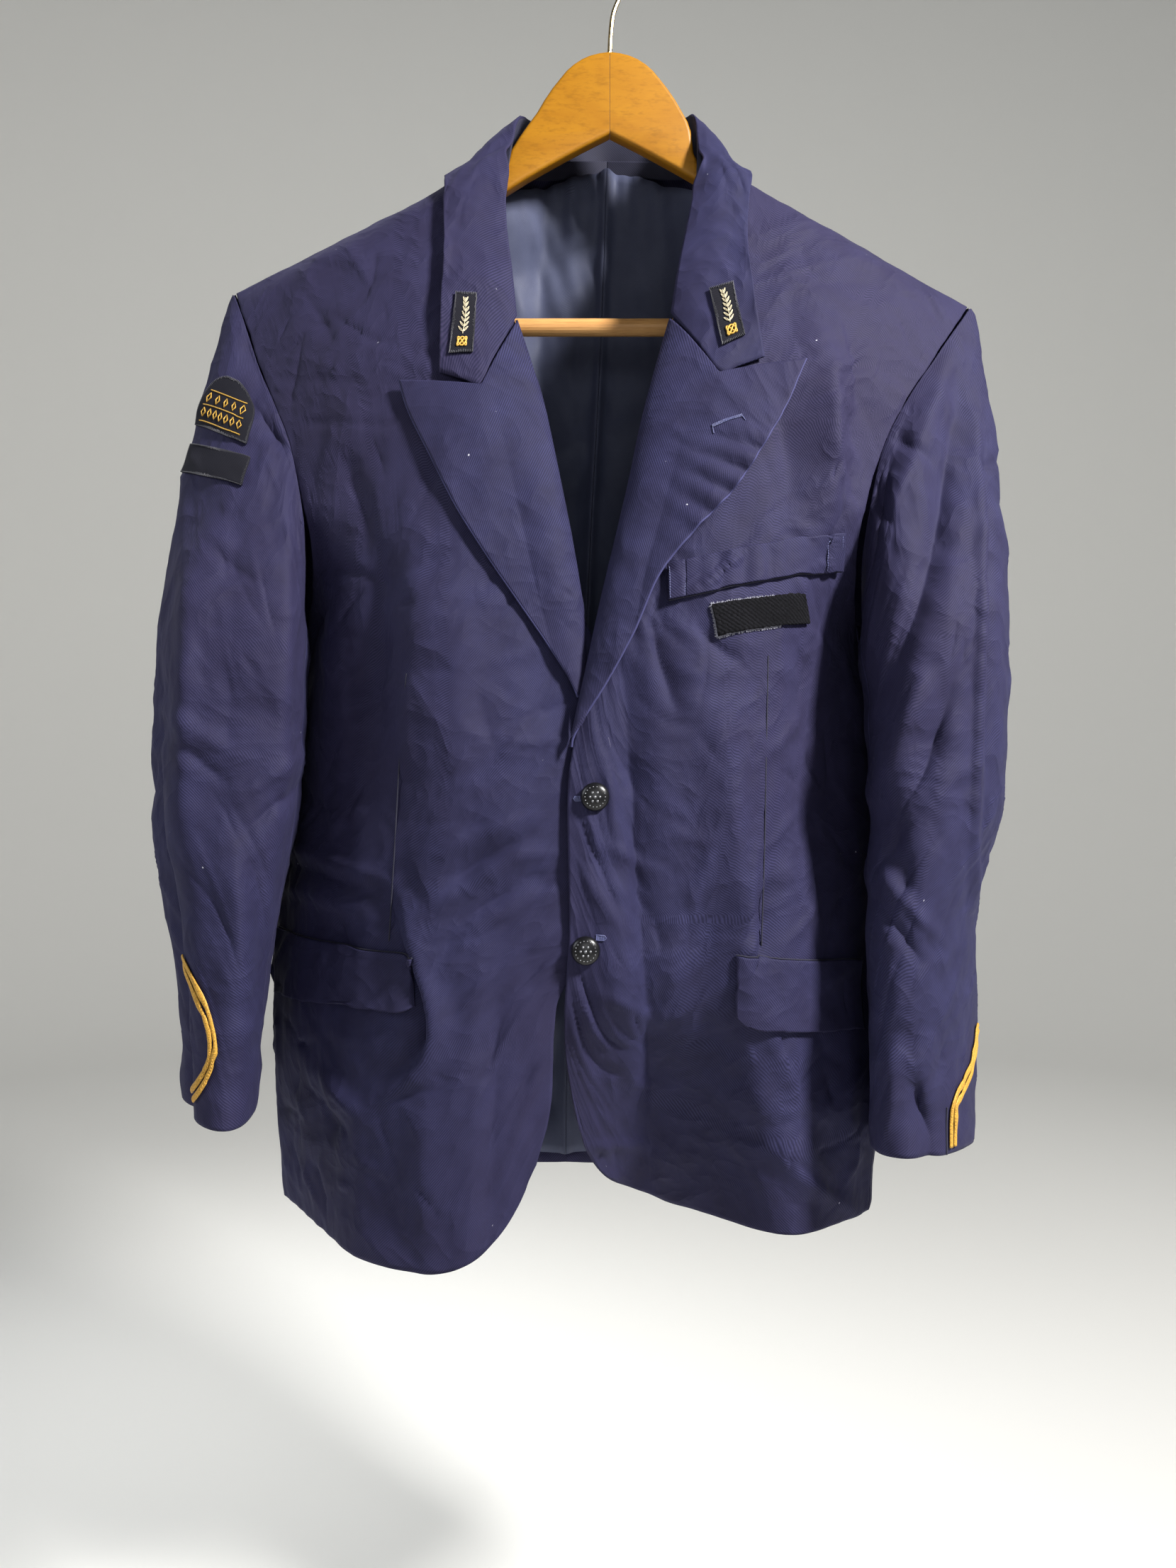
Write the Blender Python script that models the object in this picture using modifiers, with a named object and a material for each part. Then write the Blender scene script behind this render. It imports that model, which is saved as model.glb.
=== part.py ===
"""A navy railway work jacket hanging on a wooden suit hanger, in metres, +Z up.

The origin is the inside top of the hanger's hook, where it hangs. +X is the wearer's left, and the
wearer faces -Y. Every cloth piece is a curved sheet through the sections in the tables below, given
its wall by a Solidify modifier. The jacket hangs unevenly, as worn cloth does, so each front and
each sleeve has its own table.
"""

import math

import bmesh
import bpy
import numpy as np
from mathutils import Vector
from mathutils.bvhtree import BVHTree

CLOTH = 0.0016
THIN = 0.0012
SEAM_GAP = 0.0003
ON_CLOTH = 0.0006

# Each row is a section of a front, from the hem up: the height at the front edge and at the side
# seam, how sharply the height changes near the edge, then (x, y) at the edge, the placket, the middle,
# the dart, the flank and the seam.
FRONT_RIGHT = (
    ("hem", -0.790, -0.853, 8, (-0.046, -0.100),
     (-0.064, -0.107), (-0.096, -0.113), (-0.150, -0.082), (-0.190, -0.024), (-0.224, 0.030)),
    ("skirt", -0.757, -0.795, 2, (-0.037, -0.098),
     (-0.062, -0.103), (-0.094, -0.108), (-0.148, -0.082), (-0.191, -0.030), (-0.228, 0.027)),
    ("flap", -0.690, -0.715, 1, (-0.031, -0.0955),
     (-0.060, -0.100), (-0.093, -0.102), (-0.143, -0.080), (-0.193, -0.034), (-0.230, 0.024)),
    ("pocket", -0.655, -0.655, 1, (0.000, -0.0955),
     (-0.040, -0.098), (-0.085, -0.097), (-0.136, -0.079), (-0.189, -0.034), (-0.227, 0.022)),
    ("waist", -0.573, -0.573, 1, (0.010, -0.0925),
     (-0.022, -0.095), (-0.070, -0.100), (-0.128, -0.086), (-0.176, -0.046), (-0.214, 0.014)),
    ("break", -0.515, -0.515, 1, (0.004, -0.0870),
     (-0.024, -0.090), (-0.068, -0.098), (-0.124, -0.092), (-0.171, -0.056), (-0.207, 0.008)),
    ("chest", -0.462, -0.460, 1, (-0.0185, -0.083),
     (-0.042, -0.089), (-0.078, -0.096), (-0.122, -0.094), (-0.166, -0.066), (-0.201, 0.000)),
    ("breast", -0.411, -0.416, 1, (-0.027, -0.080),
     (-0.049, -0.087), (-0.081, -0.092), (-0.119, -0.089), (-0.156, -0.073), (-0.188, -0.050)),
    ("yoke", -0.340, -0.352, 1, (-0.0405, -0.070),
     (-0.060, -0.077), (-0.090, -0.082), (-0.126, -0.077), (-0.163, -0.065), (-0.2025, -0.046)),
    ("gorge", -0.272, -0.296, 1, (-0.062, -0.052),
     (-0.080, -0.059), (-0.104, -0.062), (-0.138, -0.059), (-0.180, -0.048), (-0.227, -0.026)),
    ("over", -0.164, -0.2515, 1, (-0.0775, -0.018),
     (-0.088, -0.022), (-0.112, -0.024), (-0.147, -0.024), (-0.192, -0.021), (-0.2435, -0.012)),
)
FRONT_LEFT = (
    ("hem", -0.770, -0.846, 12, (-0.0235, -0.060),
     (-0.008, -0.024), (0.030, 0.010), (0.063, -0.022), (0.112, -0.061), (0.1665, -0.018)),
    ("skirt", -0.728, -0.792, 2, (-0.0285, -0.083),
     (-0.012, -0.072), (0.026, -0.040), (0.060, -0.044), (0.108, -0.066), (0.170, -0.014)),
    ("flap", -0.690, -0.715, 1, (-0.028, -0.098),
     (-0.004, -0.098), (0.032, -0.088), (0.068, -0.078), (0.112, -0.070), (0.176, -0.004)),
    ("pocket", -0.650, -0.655, 1, (-0.0255, -0.1015),
     (0.001, -0.103), (0.037, -0.095), (0.078, -0.081), (0.120, -0.067), (0.177, 0.004)),
    ("waist", -0.573, -0.573, 1, (-0.0265, -0.1005),
     (0.002, -0.1025), (0.042, -0.100), (0.087, -0.087), (0.124, -0.060), (0.171, 0.002)),
    ("break", -0.535, -0.515, 1, (-0.0215, -0.0965),
     (0.004, -0.100), (0.044, -0.101), (0.086, -0.091), (0.124, -0.062), (0.167, 0.000)),
    ("chest", -0.460, -0.460, 1, (-0.0065, -0.089),
     (0.018, -0.094), (0.052, -0.097), (0.088, -0.089), (0.122, -0.068), (0.162, -0.004)),
    ("breast", -0.411, -0.418, 1, (0.006, -0.082),
     (0.026, -0.087), (0.056, -0.091), (0.088, -0.086), (0.120, -0.074), (0.1535, -0.054)),
    ("yoke", -0.340, -0.346, 1, (0.021, -0.071),
     (0.040, -0.077), (0.068, -0.081), (0.103, -0.077), (0.138, -0.065), (0.174, -0.050)),
    ("gorge", -0.272, -0.292, 1, (0.040, -0.052),
     (0.055, -0.059), (0.080, -0.062), (0.115, -0.059), (0.158, -0.048), (0.2075, -0.031)),
    ("over", -0.164, -0.258, 1, (0.0665, -0.018),
     (0.076, -0.022), (0.100, -0.024), (0.134, -0.024), (0.180, -0.021), (0.2315, -0.012)),
)

# Each row is a section of the right half of the back: the height at the centre and at the side, how
# the height changes between them, (x, y) at each station, and the left half's width to the right's.
BACK_STATIONS = ("centre", "nape", "neck", "blade", "seam")
BACK = (
    ("hem", -0.846, -0.852, 1, (-0.031, 0.080),
     (-0.075, 0.082), (-0.110, 0.082), (-0.160, 0.077), (-0.207, 0.058), 1.14),
    ("skirt", -0.715, -0.715, 1, (-0.029, 0.080),
     (-0.073, 0.083), (-0.109, 0.083), (-0.160, 0.078), (-0.212, 0.056), 1.14),
    ("waist", -0.573, -0.573, 1, (-0.023, 0.079),
     (-0.066, 0.082), (-0.102, 0.082), (-0.148, 0.077), (-0.190, 0.050), 1.13),
    ("chest", -0.460, -0.460, 1, (-0.016, 0.076),
     (-0.058, 0.080), (-0.095, 0.080), (-0.140, 0.070), (-0.184, 0.036), 1.05),
    ("blades", -0.400, -0.400, 1, (-0.0135, 0.074),
     (-0.056, 0.077), (-0.093, 0.076), (-0.138, 0.066), (-0.184, 0.040), 0.97),
    ("yoke", -0.320, -0.340, 1, (-0.009, 0.069),
     (-0.052, 0.071), (-0.090, 0.068), (-0.140, 0.056), (-0.205, 0.034), 0.93),
    ("high", -0.240, -0.290, 1, (-0.005, 0.065),
     (-0.050, 0.062), (-0.088, 0.054), (-0.145, 0.042), (-0.228, 0.020), 0.95),
    ("over", -0.150, -0.2515, 0.65, (-0.002, 0.060),
     (-0.048, 0.050), (-0.0825, 0.026), (-0.150, 0.023), (-0.2435, 0.008), 0.96),
)
BACK_NECK = {
    "centre": (-0.001, 0.058, -0.119),
    "right": (-0.045, 0.042, -0.127),
    "left": (0.039, 0.042, -0.127),
}
NECK_POINT = {"right": (-0.0745, 0.002, -0.1465), "left": (0.064, 0.002, -0.1465)}
SHOULDER_TIP = {"right": (-0.2495, -0.004, -0.2385), "left": (0.239, -0.004, -0.2475)}
NECK_STATION = BACK_STATIONS.index("neck")
FRONT_ON_SHOULDER = (0, 0.09, 0.21, 0.42, 0.68, 1)
BACK_ON_SHOULDER = (0, 0.42, 1)
SIDE_BULGE = 0.009

# Each row is a level ring of a sleeve: its height at the front and the back, its middle, half its
# width and thickness, and the turn of its wide way from straight ahead, in degrees.
SLEEVE_RIGHT = (
    ("upper", -0.490, -0.490, -0.2465, -0.026, 0.078, 0.0450, 24),
    ("elbow", -0.580, -0.580, -0.2510, -0.024, 0.078, 0.0450, 22),
    ("forearm", -0.640, -0.640, -0.2530, -0.026, 0.076, 0.0345, 23),
    ("wrist", -0.700, -0.700, -0.2520, -0.027, 0.073, 0.0265, 20),
    ("cuff", -0.772, -0.758, -0.2540, -0.028, 0.070, 0.0215, 20),
)
SLEEVE_LEFT = (
    ("upper", -0.490, -0.490, 0.2090, -0.030, 0.077, 0.0450, 22),
    ("elbow", -0.580, -0.580, 0.2110, -0.034, 0.076, 0.0375, 25),
    ("forearm", -0.640, -0.640, 0.2015, -0.036, 0.074, 0.0300, 27),
    ("wrist", -0.700, -0.700, 0.2012, -0.036, 0.072, 0.0285, 28),
    ("cuff", -0.786, -0.800, 0.2015, -0.037, 0.072, 0.0265, 28),
)
CAP_OUT = {"right": 0.03, "left": 0.08}
CAP_RINGS = 8
SLEEVE_RINGS = 13
UNDER_COLUMNS = 9
ARMHOLE_OUT = 0.0018
UNDERARM_OUT = 0.0074
UNDERARM_RISE = 0.0020
CAP_FALL = 0.25
SLEEVE_CLEAR = 0.0018
COLLAR_COLUMNS = 31
STAND_COLUMNS = 25
COLLAR_GAP = 0.0009
GORGE_TOP = -0.262
LINING_DEPTH = 0.0034
LINING_TOP = 0.40
LINING_FALL = 2.2
LINING_CURVE = 2.2
BAND_DEPTH = 0.0018
LINING_SHARE = 0.86
LINING_EDGE = {"right": -0.0008, "left": 0.0014}
UNDERARM_ROWS = 17
SLEEVE_SEAMS = {"front": 0.40, "back": 0.86}

# The fold line and the outer edge of the collar, from the right front round to the left.
COLLAR = (
    ("right front", (-0.0655, -0.044, -0.2366), (-0.1054, -0.0690, -0.2700)),
    ("right side", (-0.0705, -0.026, -0.1960), (-0.1053, -0.0510, -0.2250)),
    ("right neck", (-0.0625, -0.001, -0.1225), (-0.1060, -0.0220, -0.1790)),
    ("right nape", (-0.0520, 0.034, -0.1020), (-0.0930, 0.0310, -0.1560)),
    ("right back", (-0.0320, 0.052, -0.0970), (-0.0480, 0.0680, -0.1480)),
    ("centre", (0.0000, 0.058, -0.0950), (-0.0010, 0.0750, -0.1460)),
    ("left back", (0.0290, 0.052, -0.0970), (0.0430, 0.0680, -0.1480)),
    ("left nape", (0.0475, 0.034, -0.1020), (0.0800, 0.0310, -0.1560)),
    ("left neck", (0.0575, -0.001, -0.1195), (0.0890, -0.0180, -0.1740)),
    ("left side", (0.0560, -0.024, -0.1880), (0.0860, -0.0500, -0.2200)),
    ("left front", (0.0455, -0.044, -0.2320), (0.0885, -0.0680, -0.2660)),
)
FALL_BULGE = 0.0040
STAND_IN = 0.0010
STAND_FOOT = 0.0012
STAND_TOP = 0.0014
COLLAR_LIFT = 0.0062
GORGE_LIFT = 0.0030

# Each row is a line across a lapel, from its foot up: (x, z) on the roll line and on the outer edge.
LAPEL_RIGHT = (
    ((-0.0185, -0.5080), (-0.0215, -0.5151)),
    ((-0.0175, -0.4850), (-0.0270, -0.5033)),
    ((-0.0190, -0.4600), (-0.0390, -0.4842)),
    ((-0.0230, -0.4340), (-0.0545, -0.4617)),
    ((-0.0290, -0.4030), (-0.0720, -0.4354)),
    ((-0.0360, -0.3680), (-0.0915, -0.4038)),
    ((-0.0430, -0.3350), (-0.1075, -0.3712)),
    ((-0.0510, -0.3050), (-0.1217, -0.3420)),
    ((-0.0600, -0.2760), (-0.1284, -0.3214)),
)
LAPEL_LEFT = (
    ((-0.0225, -0.5400), (-0.0245, -0.5450)),
    ((-0.0190, -0.5200), (-0.0185, -0.5330)),
    ((-0.0125, -0.4900), (-0.0025, -0.5084)),
    ((-0.0050, -0.4550), (0.0140, -0.4780)),
    ((0.0040, -0.4150), (0.0290, -0.4460)),
    ((0.0125, -0.3800), (0.0490, -0.4190)),
    ((0.0185, -0.3500), (0.0700, -0.3930)),
    ((0.0260, -0.3180), (0.0960, -0.3500)),
    ((0.0380, -0.2740), (0.1172, -0.3088)),
)
# (x, z) of the collar's lower outer corner, and of the point where the gorge seam reaches its edge.
NOTCH = {"right": (-0.1047, -0.3169), "left": (0.0925, -0.3065)}
GORGE = {"right": (-0.0800, -0.3265), "left": (0.0650, -0.3195)}
LAPEL_CORNER = 3 / 7
COLLAR_CORNER = 3 / 6
ROLL_RADIUS = 0.0034
LAPEL_LIFT = 0.0030

FLAP_HEIGHT = 0.044
FLAPS = {  # (x, z) of the ends of the top edge, and the height at each end
    "right": ((-0.1170, -0.6690), (-0.2240, -0.6640), 0.033, FLAP_HEIGHT),
    "left": ((0.0745, -0.6690), (0.1620, -0.6810), 0.043, FLAP_HEIGHT),
}
WELT_ENDS = ((0.0335, -0.4575), (0.1415, -0.4315))
WELT_HEIGHT = 0.0215
CHEST_STRIP = ((0.0583, -0.4606), (0.1154, -0.4495), 0.0170)
# The corners of the collar patches in front view: lower left, lower right, upper right, upper left.
COLLAR_PATCHES = {
    "right": ((-0.0990, -0.3048), (-0.0850, -0.3040), (-0.0838, -0.2636), (-0.0965, -0.2636)),
    "left": ((0.0675, -0.2992), (0.0812, -0.2925), (0.0752, -0.2560), (0.0610, -0.2600)),
}
STRIP_LEAN = 0.0040
STRIP_LIFT = 0.0011
WELT_LIFT = 0.0008
FLAP_LIFT = 0.0012
SHOULDER_PATCH = {"turn": 0.080, "half_turn": 0.071, "foot_z": -0.3440, "height": 0.0380, "slope": 0.14}
SLEEVE_STRIP = {"turns": (0.010, 0.168), "top_z": -0.3480, "slope": 0.0160, "height": 0.0190}
UPPER_COLUMNS = 17
TURN_LENGTH = 0.42
BUTTONS = {"upper": (-0.0105, -0.5735), "lower": (-0.0160, -0.6635)}
BUTTON_RADIUS = 0.0085
BUTTON_HEIGHT = 0.0050
SHANK_RADIUS = 0.0016
BUTTONHOLE = (0.0120, 0.0044)
BUTTONHOLE_OUT = 0.0020
BUTTON_LIFT = 0.0016
SHANK_GAP = 0.0009

# Two rows of braid go up each cuff: (turns from the shoulder line, z) from the hem up.
BRAID = {
    "right": ((0.112, -0.7580), (0.145, -0.7515), (0.175, -0.7425), (0.198, -0.7330), (0.205, -0.7225),
              (0.195, -0.7120), (0.165, -0.7030), (0.115, -0.6940)),
    "left": ((0.075, -0.7850), (0.072, -0.7680), (0.070, -0.7570), (0.055, -0.7490), (0.025, -0.7430),
             (-0.010, -0.7360), (-0.045, -0.7260), (-0.080, -0.7130)),
}
BRAID_WIDTH = 0.0036
BRAID_PITCH = 0.0058

HANGER_THICK = 0.011
HANGER_ROUND = 0.0025
HANGER_UNDER = 0.0052
HANGER_TOP = (
    (0.0, -0.0750), (0.0100, -0.0765), (0.0190, -0.0800), (0.0270, -0.0857), (0.0330, -0.0925),
    (0.0415, -0.1035), (0.0487, -0.1156),
)
HANGER_NECK = {
    "right": ((0.0572, -0.1272), (0.0664, -0.1410), (0.0700, -0.1520), (0.0800, -0.1615)),
    "left": ((0.0535, -0.1250), (0.0553, -0.1350), (0.0575, -0.1470), (0.0660, -0.1590)),
}
HANGER_SHOULDER = (0.105, 0.205)
# The arm's rounded end, measured from the end of its shoulder line, then its foot, where the bar is
# held, and its lower edge back to the notch in the middle.
HANGER_TAIL = ((0.0, 0.0), (0.0075, -0.0090), (0.0030, -0.0220), (-0.0150, -0.0400))
HANGER_FOOT = ((0.1760, -0.2690), (0.1660, -0.2690), (0.1590, -0.2560))
HANGER_BELOW = ((0.1230, -0.2080), (0.0700, -0.1690), (0.0300, -0.1455), (0.0, -0.1300))
HANGER_ARM_FOOT = 0.1565
BAR_Z = -0.2585
BAR_RADIUS = 0.0058
WIRE_RADIUS = 0.0016
HOOK_RADIUS = 0.0140

# The largest creases of the cloth: which piece, a line in front view from (x, z) to (x, z), half its
# width, and how far the cloth goes out (+) or in (-) along it.
CREASES = (
    ("front_right", (-0.1000, -0.600), (-0.1150, -0.730), 0.014, 0.007),
    ("front_right", (-0.1080, -0.480), (-0.1130, -0.600), 0.022, 0.005),
    ("front_right", (-0.1500, -0.430), (-0.1420, -0.560), 0.016, -0.006),
    ("front_right", (-0.1950, -0.640), (-0.1100, -0.590), 0.010, 0.004),
    ("front_right", (-0.1870, -0.747), (-0.1300, -0.800), 0.012, 0.004),
    ("front_left", (0.0080, -0.620), (0.0200, -0.800), 0.012, 0.005),
    ("front_left", (0.0480, -0.560), (0.0560, -0.740), 0.014, -0.006),
    ("front_left", (0.1290, -0.275), (0.1370, -0.390), 0.010, 0.006),
    ("front_left", (0.0700, -0.740), (0.1450, -0.830), 0.010, 0.004),
    ("back_right", (-0.0600, -0.420), (-0.0800, -0.780), 0.018, 0.005),
    ("back_left", (0.0500, -0.430), (0.0500, -0.790), 0.018, 0.005),
    ("back_left", (0.1100, -0.560), (0.1300, -0.820), 0.016, -0.005),
)
# The long folds of the sleeves: height of its two ends, angle round the ring at each end in turns
# from the shoulder's front, half its width in turns, and how far the cloth goes out or in.
SLEEVE_FOLDS = {
    "right": (
        (-0.520, -0.775, 0.020, 0.075, 0.030, -0.014),
        (-0.400, -0.700, 0.120, 0.150, 0.035, 0.005),
        (-0.460, -0.640, 0.300, 0.330, 0.035, 0.004),
        (-0.600, -0.690, 0.560, 0.600, 0.045, -0.006),
    ),
    "left": (
        (-0.380, -0.560, 0.160, 0.230, 0.040, -0.006),
        (-0.600, -0.640, 0.300, 0.220, 0.030, -0.006),
        (-0.735, -0.810, 0.220, 0.140, 0.028, -0.006),
        (-0.600, -0.690, 0.560, 0.600, 0.045, -0.006),
    ),
}

COLOURS = {
    "cloth": (0.075, 0.072, 0.150),
    "lining": (0.110, 0.120, 0.230),
    "band": (0.040, 0.042, 0.080),
    "black": (0.012, 0.012, 0.018),
    "wood": (0.560, 0.270, 0.060),
    "bar": (0.700, 0.410, 0.150),
    "brass": (0.560, 0.420, 0.180),
    "gold": (0.720, 0.430, 0.070),
    "button": (0.010, 0.010, 0.012),
}


def through(rows, steps):
    """Points on the smooth curve through the rows, at the given steps counted in rows."""
    rows = np.asarray(rows, float)
    first, last = 2 * rows[0] - rows[1], 2 * rows[-1] - rows[-2]
    knots = np.concatenate([first[None], rows, last[None]])
    steps = np.clip(np.asarray(steps, float), 0, len(rows) - 1)
    low = np.minimum(steps.astype(int), len(rows) - 2)
    part = (steps - low).reshape((-1,) + (1,) * (rows.ndim - 1))
    a, b, c, d = (knots[low + k] for k in range(4))
    bend = 2 * a - 5 * b + 4 * c - d
    curl = 3 * (b - c) + d - a
    return b + 0.5 * part * (c - a + part * (bend + part * curl))


def even_steps(rows, count):
    """Steps that space count points evenly by length along the curve through the rows."""
    fine = np.linspace(0, len(rows) - 1, 40 * len(rows))
    points = through(rows, fine)
    far = np.concatenate([[0], np.cumsum(np.linalg.norm(np.diff(points, axis=0), axis=1))])
    return np.interp(np.linspace(0, far[-1], count), far, fine)


def between(a, b, shares):
    shares = np.asarray(shares, float)[:, None]
    return np.asarray(a) * (1 - shares) + np.asarray(b) * shares


def section(z_first, z_last, bend, pairs):
    """A section's stations, with their height changing from the first to the last of them."""
    flat = np.array(pairs)
    share = (flat[:, 0] - flat[0, 0]) / (flat[-1, 0] - flat[0, 0])
    height = z_last + (z_first - z_last) * (1 - share) ** bend
    return np.column_stack([flat, height])


def front_stations(side):
    table = FRONT_RIGHT if side == "right" else FRONT_LEFT
    rows = [section(first, last, bend, pairs) for _, first, last, bend, *pairs in table]
    rows.append(between(NECK_POINT[side], SHOULDER_TIP[side], FRONT_ON_SHOULDER))
    return np.array(rows)


def back_stations(side):
    rows = []
    for _, first, last, bend, *pairs, ratio in BACK:
        row = section(first, last, bend, pairs)
        if side == "left":
            row[:, 0] = row[0, 0] + (row[0, 0] - row[:, 0]) * ratio
        rows.append(row)
    tip = between(NECK_POINT[side], SHOULDER_TIP[side], BACK_ON_SHOULDER)
    rows.append(np.vstack([BACK_NECK["centre"], BACK_NECK[side], tip]))
    return np.array(rows)


def loft(stations, across, lower, upper, split, corner=None):
    """A grid through a table of stations: some rows up to the split section, and some above it.

    The top row is straight beyond the corner station, where a back meets the shoulder seam.
    """
    middle = stations[:, stations.shape[1] // 2]
    steps = even_steps(middle[: split + 1], lower)
    above = split + even_steps(middle[split:], upper)
    rows = through(stations, np.concatenate([steps, above[1:]]))
    widest = stations[len(stations) // 2]
    steps = even_steps(widest, across)
    grid = np.array([through(row, steps) for row in rows])
    if corner is not None:
        beyond = steps > corner
        run = (steps[beyond] - corner) / (len(widest) - 1 - corner)
        grid[-1, beyond] = between(stations[-1, corner], stations[-1, -1], run)
        grid[-1, ~beyond] = through(stations[-1, : corner + 1], steps[~beyond])
    return grid


def normals_of(grid):
    across = np.gradient(grid, axis=1)
    up = np.gradient(grid, axis=0)
    normal = np.cross(across, up)
    return normal / np.maximum(np.linalg.norm(normal, axis=2, keepdims=True), 1e-9)


def drawn_in(grid, left=0.0, right=0.0, bottom=0.0, top=0.0):
    """The grid with its edges moved in by these distances, for the gap at a seam."""
    grid = grid.copy()
    for line, inner, gap in (
        (grid[:, 0], grid[:, 1], left),
        (grid[:, -1], grid[:, -2], right),
        (grid[0], grid[1], bottom),
        (grid[-1], grid[-2], top),
    ):
        way = inner - line
        line += way * gap / np.maximum(np.linalg.norm(way, axis=1, keepdims=True), 1e-9)
    return grid


def crease(name, grid, outward):
    """Moves a panel out or in along the creases that the table gives for it."""
    push = np.zeros(grid.shape[:2])
    flat = grid[:, :, [0, 2]]
    for piece, start, end, width, depth in CREASES:
        if piece != name:
            continue
        start, way = np.array(start), np.array(end) - np.array(start)
        along = np.clip(((flat - start) @ way) / (way @ way), 0, 1)
        gap = np.linalg.norm(flat - start - along[:, :, None] * way, axis=2)
        push += depth * np.exp(-((gap / width) ** 2)) * (0.35 + 0.65 * np.sin(np.pi * along))
    edge = np.ones(grid.shape[:2])
    edge[:, [0, -1]] = 0
    edge[:, [1, -2]] = 0.5
    return grid + (push * edge)[:, :, None] * outward


def facing(grid, way):
    normal = normals_of(grid)
    if (normal.reshape(-1, 3) @ np.array(way)).mean() < 0:
        normal = -normal
    return normal


def material(name):
    made = bpy.data.materials.new(name)
    made.use_nodes = True
    shader = made.node_tree.nodes["Principled BSDF"]
    family = name.split("-")[0]
    shader.inputs["Base Color"].default_value = (*COLOURS[family], 1)
    shader.inputs["Roughness"].default_value = {"button": 0.25, "wood": 0.4, "bar": 0.45}.get(family, 0.8)
    shader.inputs["Metallic"].default_value = 1.0 if family == "brass" else 0.0
    return made


def placed(name, mesh, finish, smooth=True):
    obj = bpy.data.objects.new(name, mesh)
    PARTS.objects.link(obj)
    obj.data.materials.append(material(f"{finish}-{name}"))
    if smooth:
        mesh.shade_smooth()
    return obj


def sheet(name, grid, finish, wall=CLOTH, way=(0, -1, 0)):
    """A cloth piece: the grid is its inner face, and the wall goes the way given."""
    rows, columns = grid.shape[:2]
    normal = normals_of(grid).reshape(-1, 3) @ np.array(way, float)
    turned = normal.mean() < 0
    bm = bmesh.new()
    points = [bm.verts.new(point) for point in grid.reshape(-1, 3)]
    for i in range(rows - 1):
        for j in range(columns - 1):
            k = i * columns + j
            corners = (k, k + 1, k + columns + 1, k + columns)
            face = [points[c] for c in (reversed(corners) if turned else corners)]
            bm.faces.new(face)
    mesh = bpy.data.meshes.new(name)
    bm.to_mesh(mesh)
    bm.free()
    obj = placed(name, mesh, finish)
    solidify = obj.modifiers.new("wall", "SOLIDIFY")
    solidify.thickness = wall
    solidify.offset = 1
    return obj


def column_at(grid, x, z):
    """The column of the grid, counted with parts, that passes through x at the height z."""
    across = np.array([np.interp(z, line[:, 2], line[:, 0]) for line in grid.transpose(1, 0, 2)])
    if across[-1] < across[0]:
        across, x = -across, -x
    return np.interp(x, np.maximum.accumulate(across), np.arange(len(across)))


def on_panel(grid, column, z, lift, way=(0, -1, 0)):
    """The point of a panel at a column and a height, moved out by lift from its outer face."""
    low = min(int(column), grid.shape[1] - 2)
    part = column - low
    points = grid[:, low] * (1 - part) + grid[:, low + 1] * part
    normals = facing(grid, way)
    normals = normals[:, low] * (1 - part) + normals[:, low + 1] * part
    row = np.interp(z, points[:, 2], np.arange(len(points)))
    level = min(int(row), len(points) - 2)
    rise = row - level
    point = points[level] * (1 - rise) + points[level + 1] * rise
    normal = normals[level] * (1 - rise) + normals[level + 1] * rise
    return point + normal / np.linalg.norm(normal) * (CLOTH + lift)


def at(grid, x, z, lift=ON_CLOTH):
    return on_panel(grid, column_at(grid, x, z), z, lift)


def laid(name, grid, flat, finish, wall=THIN, lift=ON_CLOTH):
    """A piece laid on a panel, from a grid of (x, z) points in front view."""
    points = np.array([[at(grid, x, z, lift) for x, z in row] for row in flat])
    return sheet(name, points, finish, wall)


def quad_grid(corners, across, up):
    """(x, z) points filling four corners given as lower left, lower right, upper right, upper left."""
    low = between(corners[0], corners[1], np.linspace(0, 1, across))
    high = between(corners[3], corners[2], np.linspace(0, 1, across))
    return [low * (1 - t) + high * t for t in np.linspace(0, 1, up)]


def side_grid(front, back, side):
    """The side panel runs from the front's seam to the back's, up to the underarm."""
    behind = back[:, -1]
    out = np.array([-1.0 if side == "right" else 1.0, 0.25, 0.0])
    rows = []
    for point in front[: UNDERARM_ROWS, -1]:
        other = np.array([np.interp(point[2], behind[:, 2], behind[:, k]) for k in range(3)])
        if point[2] < behind[0, 2]:
            other = behind[0]
        rows.append([point, (point + other) / 2 + out * SIDE_BULGE, other])
    stations = np.array(rows)
    return np.array([through(row, np.linspace(0, 2, 5)) for row in stations])


def panels_of(side):
    front = loft(front_stations(side), 15, UNDERARM_ROWS, 11, 6)
    back = loft(back_stations(side), 11, 13, 11, 3, NECK_STATION)
    flank = side_grid(front, back, side)
    front = crease(f"front_{side}", front, facing(front, (0, -1, 0)))
    back = crease(f"back_{side}", back, facing(back, (0, 1, 0)))
    return front, flank, back


def body_panels(panels):
    for side, out in (("right", -1), ("left", 1)):
        front, flank, back = panels[side]
        sheet(f"front_{side}", drawn_in(front, right=SEAM_GAP, top=SEAM_GAP), "cloth")
        back = drawn_in(back, left=SEAM_GAP, right=SEAM_GAP, top=SEAM_GAP)
        sheet(f"back_{side}", back, "cloth", way=(0, 1, 0))
        flank = drawn_in(flank, left=SEAM_GAP, right=SEAM_GAP)
        sheet(f"side_{side}", flank, "cloth", way=(out, 0, 0))


def armhole(panels, count):
    """The armhole from the shoulder tip down the front, under the arm and up the back."""
    front, flank, back = panels
    down = front[UNDERARM_ROWS - 1 :, -1][::-1]
    under = flank[-1][1:-1]
    low = under[-1][2]
    up = back[back[:, -1, 2] >= low - 0.001][:, -1]
    ring = np.vstack([down, under, up])
    return through(ring, even_steps(ring, count))


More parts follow.
